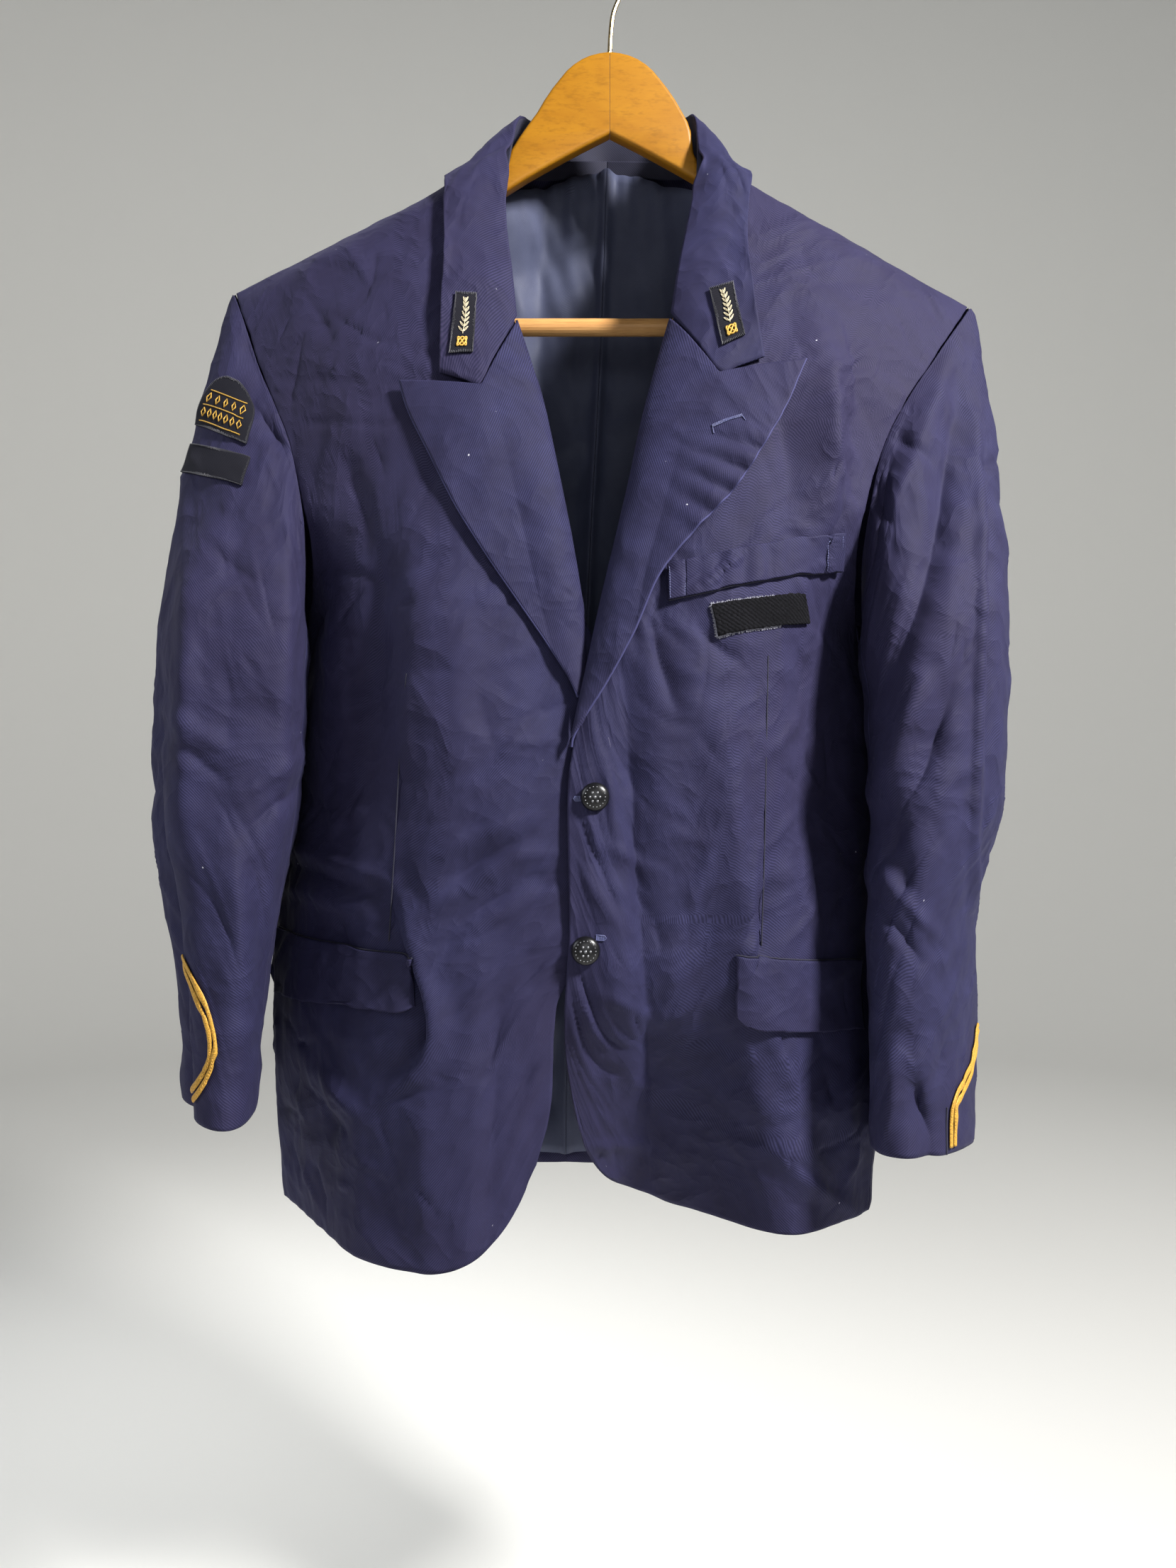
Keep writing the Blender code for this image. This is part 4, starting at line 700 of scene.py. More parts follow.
def back_stations(side):
    rows = []
    for _, first, last, bend, *pairs, ratio in BACK:
        row = section(first, last, bend, pairs)
        if side == "left":
            row[:, 0] = row[0, 0] + (row[0, 0] - row[:, 0]) * ratio
        rows.append(row)
    tip = between(NECK_POINT[side], SHOULDER_TIP[side], BACK_ON_SHOULDER)
    return np.array(rows + [np.vstack([BACK_NECK["centre"], BACK_NECK[side], tip])])


def loft(stations, across, lower, upper, split, corner=None):
    """A grid through a table of stations: some rows up to the split section, and some above it.

    The top row is straight beyond the corner station, where a back meets the shoulder seam.
    """
    middle = stations[:, stations.shape[1] // 2]
    above = split + even_steps(middle[split:], upper)
    rows = through(stations, np.concatenate([even_steps(middle[: split + 1], lower), above[1:]]))
    widest = stations[len(stations) // 2]
    steps = even_steps(widest, across)
    grid = np.array([through(row, steps) for row in rows])
    if corner is not None:
        beyond = steps > corner
        run = (steps[beyond] - corner) / (len(widest) - 1 - corner)
        grid[-1, beyond] = between(stations[-1, corner], stations[-1, -1], run)
        grid[-1, ~beyond] = through(stations[-1, : corner + 1], steps[~beyond])
    return grid


def crease(name, grid, outward):
    """Moves a panel out or in along the creases that the table gives for it."""
    push = np.zeros(grid.shape[:2])
    flat = grid[:, :, [0, 2]]
    for piece_name, start, end, width, depth in CREASES:
        if piece_name == name:
            start, way = np.array(start), np.array(end) - np.array(start)
            share = np.clip(((flat - start) @ way) / (way @ way), 0, 1)
            gap = np.linalg.norm(flat - start - share[:, :, None] * way, axis=2)
            push += depth * np.exp(-((gap / width) ** 2)) * (0.35 + 0.65 * np.sin(np.pi * share))
    edge = np.ones(grid.shape[:2])
    edge[:, [0, -1]] = 0
    edge[:, [1, -2]] = 0.5
    return grid + (push * edge)[:, :, None] * outward


def side_grid(front, back, side):
    """The side panel runs from the front's seam to the back's, up to the underarm."""
    behind = back[:, -1]
    bulge = np.array([SIDES[side], 0.25, 0.0]) * SIDE_BULGE
    rows = []
    for point in front[:UNDERARM_ROWS, -1]:
        other = place_at(behind, behind[:, 2], point[2])
        rows.append(through([point, (point + other) / 2 + bulge, other], np.linspace(0, 2, 5)))
    return np.array(rows)


def panels_of(side):
    """The plain front, side and back panels of one side, as in the solids."""
    front = loft(front_stations(side), across=15, lower=UNDERARM_ROWS, upper=11, split=6)
    back = loft(back_stations(side), across=11, lower=13, upper=11, split=3, corner=NECK_STATION)
    flank = side_grid(front, back, side)
    return (crease(f"front_{side}", front, facing(front)), flank,
            crease(f"back_{side}", back, facing(back, BEHIND)))


def armhole(panels, count):
    """The armhole from the shoulder tip down the front, under the arm and up the back."""
    front, flank, back = panels
    under = flank[-1][1:-1]
    up = back[back[:, -1, 2] >= under[-1][2] - 0.001][:, -1]
    ring = np.vstack([front[UNDERARM_ROWS - 1 :, -1][::-1], under, up])
    return through(ring, even_steps(ring, count))


def level_out(rings, whole):
    """Level ways out of a sleeve, from the middle of each of its whole rings."""
    way = rings - whole.mean(axis=1, keepdims=True)
    way[..., 2] = 0
    return unit(way)


def sleeve_rings(side, panels, turns):
    """Points of a sleeve's rings, from the armhole to the cuff, at these turns round it."""
    out = SIDES[side]
    start = place_at(armhole(panels, ARMHOLE_POINTS), np.linspace(0, 1, ARMHOLE_POINTS), turns % 1.0).T
    under = np.clip(-np.cos(2 * np.pi * turns), 0, 1)[:, None]
    start = start + np.array([out, 0, 0]) * (ARMHOLE_OUT + UNDERARM_OUT * under)
    start = start + np.array([0, 0, UNDERARM_RISE]) * under
    ahead, aside = np.sin(2 * np.pi * turns)[:, None], np.cos(2 * np.pi * turns)[:, None]
    levels = []
    for _, z_front, z_back, x, y, half_wide, half_thick, turn in SLEEVES[side]:
        turn = math.radians(turn)
        wide = np.array([-out * math.sin(turn), -math.cos(turn)]) * half_wide
        thick = np.array([out * math.cos(turn), -math.sin(turn)]) * half_thick
        height = z_back + (z_front - z_back) * (1 + ahead) / 2
        levels.append(np.hstack([np.array([x, y]) + wide * ahead + thick * aside, height]))
    levels = np.array(levels)
    reach = np.linalg.norm(levels[0] - start, axis=1, keepdims=True)
    leave = np.array([out, 0, -CAP_FALL]) * reach * CAP_OUT[side]
    arrive = unit(levels[1] - levels[0]) * reach
    cap = []
    for s in np.linspace(0, 1, CAP_RINGS)[:-1]:
        a, b = 2 * s**3 - 3 * s**2 + 1, s**3 - 2 * s**2 + s
        c, d = 3 * s**2 - 2 * s**3, s**3 - s**2
        cap.append(a * start + b * leave + c * levels[0] + d * arrive)
    rings = np.vstack([cap, through(levels, np.linspace(0, len(levels) - 1, SLEEVE_RINGS))])
    push = np.zeros(rings.shape[:2])
    for z_top, z_low, turn_top, turn_low, width, depth in SLEEVE_FOLDS[side]:
        share = (z_top - rings[:, :, 2]) / (z_top - z_low)
        centre = turn_top + (turn_low - turn_top) * np.clip(share, 0, 1)
        gap = (turns - centre + 0.5) % 1.0 - 0.5
        fade = 1 / (1 + np.exp(-share * 12)) / (1 + np.exp((share - 1) * 12))
        push += depth * np.exp(-((gap / width) ** 2)) * fade
    return rings + push[:, :, None] * level_out(rings, rings)


def from_neck(point):
    return np.array([point[0] + 0.005, point[1] - 0.005, 0.06])


def bent_line(first, corner, last, share, shares):
    """Points from first to last that turn at the corner, which lies at this share of the way."""
    low, high = shares <= share, shares > share
    return np.vstack([between(first, corner, shares[low] / share),
                      between(corner, last, (shares[high] - share) / (1 - share))])


def collar_grid(panels):
    """The collar's fall round the neck's outside, and its ends down to the lapels' gorge seams."""
    rows = np.array([[fold, outer] for _, fold, outer in COLLAR])
    rows = through(rows, even_steps(rows[:, 0], COLLAR_COLUMNS))
    fold, outer = rows[:, 0], rows[:, 1]
    tree = tree_of(*(panels[side][k] for side in panels for k in (0, 2)))
    shares = np.linspace(0, 1, 7)
    fall = np.array([fold * (1 - s) + outer * s for s in shares])
    spread = unit(np.array([from_neck(p) for p in fold])) * FALL_BULGE
    fall = fall + np.sin(np.pi * shares)[:, None, None] * spread
    fall = kept_off(fall, [tree], CLOTH + COLLAR_LIFT, from_neck)
    ends = {}
    for side, out in SIDES.items():
        aside = np.array((out, 1)) * COLLAR_GAP
        top, corner = np.array(LAPELS[side][-1][0]) + aside, np.array(GORGE[side]) + aside
        line = bent_line(top, corner, NOTCH[side], COLLAR_CORNER, shares)
        ends[side] = all_at(panels[side][0], line, GORGE_LIFT)
    middle = {side: (ends[side] + fall[:, 0 if side == "right" else -1]) / 2 for side in ends}
    columns = [ends["right"], middle["right"], *fall.transpose(1, 0, 2), middle["left"], ends["left"]]
    return kept_off(np.stack(columns, axis=1), [tree], CLOTH + GORGE_LIFT, from_neck)


def neck_edge(panels, count):
    """The neck seam from the right front's edge over the shoulders to the left front's."""
    parts = []
    for side in SIDES:
        front, _, back = panels[side]
        high = front[front[:, 0, 2] > GORGE_TOP][:, 0]
        neck = back[-1][back[-1, :, 2] > NECK_POINT[side][2] + 0.0005][1:]
        parts.append(np.vstack([high, neck[::-1]]))
    line = np.vstack([parts[0], [BACK_NECK["centre"]], parts[1][::-1]])
    return through(line, even_steps(line, count))


def arm_outline(side):
    """Half of the wooden hanger, from its top down the shoulder and back along its lower edge."""
    out = SIDES[side]
    neck, tip = np.array(NECK_POINT[side]), np.array(SHOULDER_TIP[side])
    top = HANGER_TOP + HANGER_NECK[side]
    top = through(top, np.linspace(0, len(top) - 1, 16))
    slope = (tip[2] - neck[2]) / (tip[0] - neck[0])
    shoulder = [(x, neck[2] + slope * (out * x - neck[0]) - HANGER_UNDER)
                for x in np.linspace(*HANGER_SHOULDER, 5)]
    tail = np.array(HANGER_TAIL) + shoulder[-1]
    tail = through(np.vstack([tail, HANGER_FOOT]), np.linspace(0, len(tail) + len(HANGER_FOOT) - 1, 19))[1:]
    below = through(np.vstack([tail[-1:], HANGER_BELOW]), np.linspace(0, len(HANGER_BELOW), 13))[1:]
    return np.vstack([top, shoulder, tail, below]) * (out, 1)


def fold_push(flat, folds, unit_length):
    """How far the folds move the cloth at these flat places, with their widths in this unit."""
    push = np.zeros(flat.shape[:-1])
    for line, width, depth in folds:
        line = through(np.array(line, float), np.linspace(0, len(line) - 1, 4 * len(line)))
        far, run = np.full(push.shape, 1e9), np.zeros(push.shape)
        for k in range(len(line) - 1):
            way = line[k + 1] - line[k]
            share = np.clip(((flat - line[k]) @ way) / (way @ way), 0, 1)
            gap = np.linalg.norm(flat - line[k] - share[..., None] * way, axis=-1)
            near = gap < far
            far = np.where(near, gap, far)
            run = np.where(near, (k + share) / (len(line) - 1), run)
        fade = np.sin(np.pi * np.clip(0.08 + 0.84 * run, 0, 1)) ** 0.7
        push += depth * 0.001 * np.exp(-((far / (width * unit_length)) ** 1.6)) * fade
    return push


def waves(points, scale, seed):
    """A smooth uneven field from -1 to 1 with features of about this size in metres."""
    rng = np.random.default_rng(seed)
    total = np.zeros(points.shape[:-1])
    for _ in range(9):
        way = rng.normal(size=3)
        way *= rng.uniform(0.6, 1.5) / np.linalg.norm(way) / scale
        bent = points + 0.25 * scale * np.sin(points[..., [1, 2, 0]] / scale + rng.uniform(0, 6, 3))
        total += np.sin(2 * np.pi * (bent @ way) + rng.uniform(0, 6))
    return total / 4.5


def uneven(points, kind):
    """The small unevenness of this kind of piece."""
    return sum(height * waves(points, scale, seed) for height, scale, seed in UNEVEN[kind])


def arc_map(grid):
    """How far each point lies across and up the cloth, in metres."""
    rows, columns = grid.shape[:2]
    u = np.cumsum(np.linalg.norm(np.diff(grid, axis=1), axis=2), axis=1)
    v = np.cumsum(np.linalg.norm(np.diff(grid, axis=0), axis=2), axis=0)
    u = np.concatenate([np.zeros((rows, 1)), u], axis=1)
    v = np.concatenate([np.zeros((1, columns)), v])
    return np.stack([u - u[:, columns // 2][:, None], v], axis=-1)


def crumpled(grid, seed, count, depth, slant=0.6):
    """Short crisp creases strewn over a piece, fading out towards its edges."""
    rng = np.random.default_rng(seed)
    rows, columns = grid.shape[:2]
    flat = arc_map(grid)
    push = np.zeros((rows, columns))
    for _ in range(count):
        rel = flat - flat[rng.integers(rows), rng.integers(columns)]
        angle = rng.normal(rng.choice([-slant, slant]), 0.5)
        way = np.array([math.cos(angle), math.sin(angle)])
        length, width = rng.uniform(0.014, 0.065), rng.uniform(0.0016, 0.0045)
        run = rel @ way
        aside = rel @ np.array([-way[1], way[0]]) + rng.uniform(-8, 8) * run**2
        fade = np.clip(1 - (2 * run / length) ** 2, 0, 1)
        push += depth * rng.uniform(0.35, 1.0) * rng.choice([-1, 1]) * np.exp(-np.abs(aside) / width) * fade
    up = np.minimum(np.arange(rows), np.arange(rows)[::-1])[:, None] / (rows * 0.03)
    over = np.minimum(np.arange(columns), np.arange(columns)[::-1])[None, :] / (columns * 0.05)
    return push * np.clip(up, 0, 1) * np.clip(over, 0, 1)


def body_way(points):
    """Which way is out of the body, changing smoothly so that neighbouring panels stay joined."""
    way = points - np.array([-0.018, 0.0, 0.0])
    way[..., 2] = np.clip((points[..., 2] + 0.32) * 2.2, 0, 1) * 0.12
    return unit(way)


def creased_body(kind, side, grid):
    """A body panel with its folds and its small unevenness."""
    rows, columns, creases = BODY_GRIDS[kind]
    grid = refined(grid, rows, columns)
    left, right = np.arange(columns), np.arange(columns)[::-1]
    push = np.zeros((rows, columns))
    if kind == "front":
        edge = np.clip(np.minimum(left / 6, right / 8), 0, 1)
        push = FOLD_GAIN * fold_push(seen(grid), FOLDS[f"front_{side}"], PIXELS_PER_MM) * edge
    elif kind == "back":
        push = fold_push(grid[..., [0, 2]], BACK_FOLDS, 0.001) * np.clip(right / 8, 0, 1)
    x, z = grid[..., 0], grid[..., 2]
    low = np.clip((-0.43 - z) / 0.08, 0, 1) * np.clip((z + 0.86) / 0.06, 0, 1)
    near = np.clip((SIDES[side] * x - WIDEN_FROM) / 0.05, 0, 1)
    grid = grid + (SIDES[side] * WIDEN[side] * low * near**1.5)[..., None] * np.array([1.0, 0, 0])
    push += crumpled(grid, CREASE_SEED + len(kind + side), creases, BODY_CREASE)
    push += np.clip((-0.13 - z) / 0.05, 0.15, 1) * uneven(grid, "body")
    if kind == "front":
        push = push * np.clip(left / 5, 0.25, 1)
    return grid + push[..., None] * body_way(grid)


def principled(name, color, roughness, **settings):
    """A material with its shader, and short ways to its nodes."""
    made = bpy.data.materials.new(name)
    made.use_nodes = True
    shader = made.node_tree.nodes["Principled BSDF"]
    shader.inputs["Base Color"].default_value = (*color, 1)
    shader.inputs["Roughness"].default_value = roughness
    for key, value in settings.items():
        shader.inputs[key.replace("_", " ")].default_value = value
    return made, made.node_tree, shader


def node(tree, kind, vector=None, **values):
    """A shader node with these values, read at these places."""
    made = tree.nodes.new(kind)
    if vector is not None:
        tree.links.new(vector, made.inputs["Vector"])
    for key, value in values.items():
        if key in made.inputs:
            made.inputs[key].default_value = value
        else:
            setattr(made, key, value)
    return made


def mixed(tree, factor, first, second):
    """A colour mix whose ends are sockets or colours."""
    mix = node(tree, "ShaderNodeMix", data_type="RGBA")
    for socket, value in ((mix.inputs[0], factor), (mix.inputs[6], first), (mix.inputs[7], second)):
        if hasattr(value, "links"):
            tree.links.new(value, socket)
        else:
            socket.default_value = (*value, 1)
    return mix.outputs[2]


def ramped(tree, source, low, high, first=0.0, last=1.0):
    """The source stretched so that low becomes the first value and high the last."""
    ramp = tree.nodes.new("ShaderNodeMapRange")
    tree.links.new(source, ramp.inputs["Value"])
    for end, value in (("From Min", low), ("From Max", high), ("To Min", first), ("To Max", last)):
        ramp.inputs[end].default_value = value
    return ramp.outputs["Result"]


def product(tree, first, second):
    made = node(tree, "ShaderNodeMath", operation="MULTIPLY")
    tree.links.new(first, made.inputs[0])
    tree.links.new(second, made.inputs[1])
    return made.outputs[0]


def raised(tree, height, strength, distance, target):
    """Bumps of this height given to a normal socket."""
    relief = node(tree, "ShaderNodeBump", Strength=strength, Distance=distance)
    tree.links.new(height, relief.inputs["Height"])
    tree.links.new(relief.outputs[0], target)
    return relief


def cloth_material(name, dark, light, roughness, weave=0.0009, sheen=0.25, specks=0.0, bump=0.35, crackle=0.0,
                   warm=None, gloss=0.28):
    """Twill cloth: a fine diagonal weave, uneven colour, and a little white lint."""
    made, tree, shader = principled(name, light, roughness, Sheen_Weight=sheen, Sheen_Roughness=0.45,
                                    Sheen_Tint=(0.40, 0.40, 0.75, 1), Specular_IOR_Level=gloss)
    uv = node(tree, "ShaderNodeUVMap", uv_map="cloth").outputs[0]
    twill = node(tree, "ShaderNodeTexWave", uv, Scale=0.314 / weave, Distortion=0.6, Detail=2.0,
                 bands_direction="DIAGONAL")
    thread = node(tree, "ShaderNodeTexNoise", uv, Scale=2400.0, Detail=2.0)
    patch = node(tree, "ShaderNodeTexNoise", uv, Scale=38.0, Detail=5.0, Roughness=0.6).outputs[0]
    color = mixed(tree, ramped(tree, patch, 0.30, 0.72), dark, light)
    if warm:
        broad = node(tree, "ShaderNodeTexNoise", uv, Scale=2.6, Detail=1.0)
        color = mixed(tree, ramped(tree, broad.outputs[0], 0.35, 0.75), color, warm)
    weft = product(tree, twill.outputs[1], thread.outputs[0])
    color = mixed(tree, ramped(tree, weft, 0.55, 0.0), color, tuple(0.72 * v for v in dark))
    if specks:
        lint = node(tree, "ShaderNodeTexVoronoi", uv, Scale=70.0)
        pick = node(tree, "ShaderNodeTexWhiteNoise", lint.outputs["Position"])
        some = ramped(tree, pick.outputs["Value"], 1 - specks, 1 - specks + 0.01)
        near = ramped(tree, lint.outputs["Distance"], 0.050, 0.022)
        color = mixed(tree, product(tree, near, some), color, (0.42, 0.42, 0.50))
    tree.links.new(color, shader.inputs["Base Color"])
    relief = raised(tree, weft, bump, 0.0003, shader.inputs["Normal"])
    if crackle:
        ridges = node(tree, "ShaderNodeTexNoise", uv, noise_type="RIDGED_MULTIFRACTAL", Scale=11.0,
                      Detail=3.0, Roughness=0.55, Distortion=0.4, Offset=0.92, Gain=2.0)
        raised(tree, ridges.outputs[0], crackle, 0.006, relief.inputs["Normal"])
    rough = ramped(tree, patch, 0.0, 1.0, roughness - 0.06, roughness + 0.06)
    tree.links.new(rough, shader.inputs["Roughness"])
    return made


def wood_material(name, dark, light, across):
    """Varnished wood with long grain, finer pores and a soft gloss."""
    made, tree, shader = principled(name, light, 0.46, Specular_IOR_Level=0.30)
    where = node(tree, "ShaderNodeTexCoord").outputs["Object"]
    place = node(tree, "ShaderNodeMapping", where, Scale=across).outputs[0]
    grain = node(tree, "ShaderNodeTexNoise", place, Scale=9.0, Detail=6.0, Roughness=0.62, Distortion=0.8)
    pores = node(tree, "ShaderNodeTexNoise", place, Scale=60.0, Detail=3.0, Roughness=0.7)
    color = mixed(tree, ramped(tree, grain.outputs[0], 0.35, 0.68), dark, light)
    color = mixed(tree, ramped(tree, pores.outputs[0], 0.80, 0.50), tuple(0.75 * v for v in dark), color)
    tree.links.new(color, shader.inputs["Base Color"])
    raised(tree, pores.outputs[0], 0.12, 0.0004, shader.inputs["Normal"])
    return made


def metal_material(name, color, roughness):
    made, tree, shader = principled(name, color, roughness, Metallic=1.0)
    where = node(tree, "ShaderNodeTexCoord").outputs["Object"]
    wear = node(tree, "ShaderNodeTexNoise", where, Scale=900.0, Detail=3.0)
    rough = ramped(tree, wear.outputs[0], 0.3, 0.7, roughness * 0.7, roughness * 1.3)
    tree.links.new(rough, shader.inputs["Roughness"])
    return made


def thread_material(name, color, shine=0.0):
    """Sewing thread or braid: fine twisted ridges and uneven colour."""
    made, tree, shader = principled(name, color, 0.55, Metallic=shine)
    where = node(tree, "ShaderNodeTexCoord").outputs["Object"]
    twist = node(tree, "ShaderNodeTexNoise", where, Scale=1500.0, Detail=2.0).outputs[0]
    uneven_color = mixed(tree, ramped(tree, twist, 0.35, 0.65), tuple(0.45 * v for v in color), color)
    tree.links.new(uneven_color, shader.inputs["Base Color"])
    raised(tree, twist, 0.5, 0.0003, shader.inputs["Normal"])
    return made


def finishes():
    return {
        "cloth": cloth_material("navy serge", (0.0165, 0.0160, 0.045), (0.0340, 0.0350, 0.096), 0.72,
                                sheen=0.04, specks=0.3, crackle=0.40, warm=(0.030, 0.0225, 0.050),
                                gloss=0.12),
        "band": cloth_material("dark serge", (0.012, 0.012, 0.026), (0.019, 0.020, 0.042), 0.80, sheen=0.08),
        "loops": cloth_material("hook and loop tape", (0.003, 0.003, 0.004), (0.011, 0.011, 0.014), 0.95,
                                weave=0.0016, sheen=0.0, specks=0.25, bump=1.0, gloss=0.1),
        "frayed": thread_material("frayed grey thread", (0.27, 0.27, 0.34)),
        "lining": cloth_material("slate satin", (0.052, 0.059, 0.102), (0.080, 0.089, 0.143), 0.60,
                                 weave=0.0005, sheen=0.05, bump=0.08, gloss=0.16),
        "black": cloth_material("badge cloth", (0.006, 0.006, 0.010), (0.014, 0.014, 0.020), 0.85,
                                weave=0.0007, sheen=0.03, specks=0.16, gloss=0.15),
        "gold": thread_material("gold braid", (0.66, 0.36, 0.045), 0.15),
        "gold thread": thread_material("gold thread", (0.66, 0.38, 0.055), 0.1),
        "pale thread": thread_material("pale gold thread", (0.62, 0.54, 0.36), 0.05),
        "grey thread": thread_material("grey thread", (0.055, 0.055, 0.066)),
        # The lapels' rolled edges are lighter than the cloth: a painted highlight along their edge.
        "edge": principled("lapel edge painted highlight", (0.040, 0.040, 0.105), 0.7, Specular_IOR_Level=0.15)[0],
        "blue thread": thread_material("light blue thread", (0.10, 0.11, 0.25)),
        "seam": principled("seam shadow", (0.012, 0.012, 0.026), 0.9)[0],
        "wood": wood_material("honey wood", (0.252, 0.101, 0.002), (0.305, 0.133, 0.004), (2.0, 20.0, 6.0)),
        "bar": wood_material("pale wood", (0.46, 0.225, 0.070), (0.60, 0.330, 0.120), (1.0, 14.0, 14.0)),
        "brass": metal_material("brass wire", (0.36, 0.28, 0.15), 0.34),
        "silver": metal_material("silver crest", (0.24, 0.245, 0.26), 0.40),
        "button": principled("glossy black", (0.005, 0.005, 0.006), 0.30, Specular_IOR_Level=0.35)[0],
    }


def linked(name, data):
    made = bpy.data.objects.new(name, data)
    bpy.context.scene.collection.objects.link(made)
    return made


def piece(name, data, finish, nodes=(), smooth=True):
    """A shown piece that rides on the one body and may stand for CAD nodes."""
    obj = linked(name, data)
    data.materials.append(FINISH[finish])
    if smooth:
        data.shade_smooth()
    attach(obj, "root")
    if nodes:
        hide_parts(*nodes)
    return obj


def mesh_of(name, bm):
    mesh = bpy.data.meshes.new(name)
    bm.to_mesh(mesh)
    bm.free()
    return mesh


def woven(stands_for, grid, finish="cloth", way=AHEAD, wall=CLOTH, inward=False):
    """A sheet of cloth from a grid, with its wall and its weave's UV map in metres; the size of its cut is
    measured too.
    """
    faces = faces_of(grid)
    if (normals_of(grid).reshape(-1, 3) @ np.array(way, float)).mean() < 0:
        faces = faces[:, ::-1]
    mesh = bpy.data.meshes.new(f"cloth_{stands_for}")
    mesh.from_pydata(grid.reshape(-1, 3).tolist(), [], faces.tolist())
    layer = mesh.uv_layers.new(name="cloth")
    layer.data.foreach_set("uv", arc_map(grid).reshape(-1, 2)[faces.reshape(-1)].reshape(-1))
    obj = piece(f"cloth_{stands_for}", mesh, finish, [stands_for])
    solidify = obj.modifiers.new("wall", "SOLIDIFY")
    solidify.thickness = wall
    solidify.offset = -1 if inward else 1
    across = np.linalg.norm(np.diff(grid, axis=1), axis=2)
    up = np.linalg.norm(np.diff(grid, axis=0), axis=2)
    area = float((across[:-1, :] * up[:, :-1]).sum())
    wide, long = (float(sums.max()) * CUT_EASE for sums in (across.sum(axis=1), up.sum(axis=0)))
    if min(wide, long) < LEAST_SHEET:
        return
    share = min(area / (wide * long), 1.0)
    if share < LEAST_SHARE - 0.01:
        wide *= share / LEAST_SHARE
        share = LEAST_SHARE


def strand(name, routes, radius, finish, sides=1):
    """Thread along several routes, as one curve object."""
    data = bpy.data.curves.new(name, "CURVE")
    data.dimensions = "3D"
    data.bevel_depth = radius
    data.bevel_resolution = sides
    data.use_fill_caps = True
    for route in routes:
        spline = data.splines.new("POLY")
        spline.points.add(len(route) - 1)
        for point, place in zip(spline.points, route):
            point.co = (*place, 1)
    piece(name, data, finish, smooth=False)


def stitches(route, pitch, share):
    """Short pieces of a route, as running stitches."""
    far = along(route)
    return [place_at(route, far, np.linspace(start, start + pitch * share, 3)).T
            for start in np.arange(0, far[-1] - pitch * share, pitch)]


def turned(name, profile, sides, place):
    """A mesh swept round an axis: place says where a radius, a height and an angle lie."""
    bm = bmesh.new()
    angles = np.linspace(0, 2 * math.pi, sides, endpoint=False)
    rings = [[bm.verts.new(place(radius, height, a)) for a in angles] for radius, height in profile]
    for first, second in zip(rings, rings[1:]):
        for k in range(sides):
            after = (k + 1) % sides
            bm.faces.new([first[k], first[after], second[after], second[k]])
    bmesh.ops.remove_doubles(bm, verts=bm.verts, dist=1e-6)
    bmesh.ops.recalc_face_normals(bm, faces=bm.faces)
    return mesh_of(name, bm)


def dress_body(plain, fine):
    for side in SIDES:
        plain[side] = panels_of(side)
        fine[side] = [creased_body(kind, side, grid) for kind, grid in zip(BODY_GRIDS, plain[side])]
    for side, out in SIDES.items():
        for kind, grid, way in zip(BODY_GRIDS, fine[side], (AHEAD, (out, 0, 0), BEHIND)):
            woven(f"{kind}_{side}", grid, way=way)


def dress_sleeves(plain, fine):
    """Both sleeves, each in two pieces joined along their seams, with the folds of the picture."""
    grids = {}
    down = np.arange(SLEEVE_ROWS)[:, None]
    for side, out in SIDES.items():
        trees = [tree_once(grid) for grid in fine[side]]
        whole = sleeve_rings(side, plain[side], np.linspace(0, 1, 40, endpoint=False))
        whole = through(whole, np.linspace(0, len(whole) - 1, SLEEVE_ROWS))
        for name, (first, last, columns, creases, sign) in SLEEVE_PIECES.items():
            turns = np.linspace(first, last, columns)
            rings = sleeve_rings(side, plain[side], turns)
            rings = through(rings, np.linspace(0, len(rings) - 1, SLEEVE_ROWS))
            off = kept_off(rings, trees, 2 * CLOTH + 0.0008, lambda point: np.array([out, 0, 0]), 0.03)
            share = np.clip(down / 20, 0, 1) * np.clip((np.abs(turns) - 0.12) / 0.08, 0, 1)
            rings = rings * (1 - share[..., None]) + off * share[..., None]
            way = level_out(rings, whole)
            ahead = np.clip(-way[..., 1] * 1.4 + 0.25, 0, 1)
            push = FOLD_GAIN * fold_push(seen(rings), FOLDS[f"sleeve_{side}"], PIXELS_PER_MM) * ahead
            push += crumpled(rings, len(name) + ord(side[0]), creases, SLEEVE_CREASE)
            push += uneven(rings, "sleeve")
            push *= np.clip((down - 2) / 16, 0, 1)
            grid = (rings + push[..., None] * way)[::-1]
            grids[f"{name}_{side}"] = grid
            woven(f"sleeve_{name}_{side}", grid, way=(sign * out, 0, 0))
    return grids


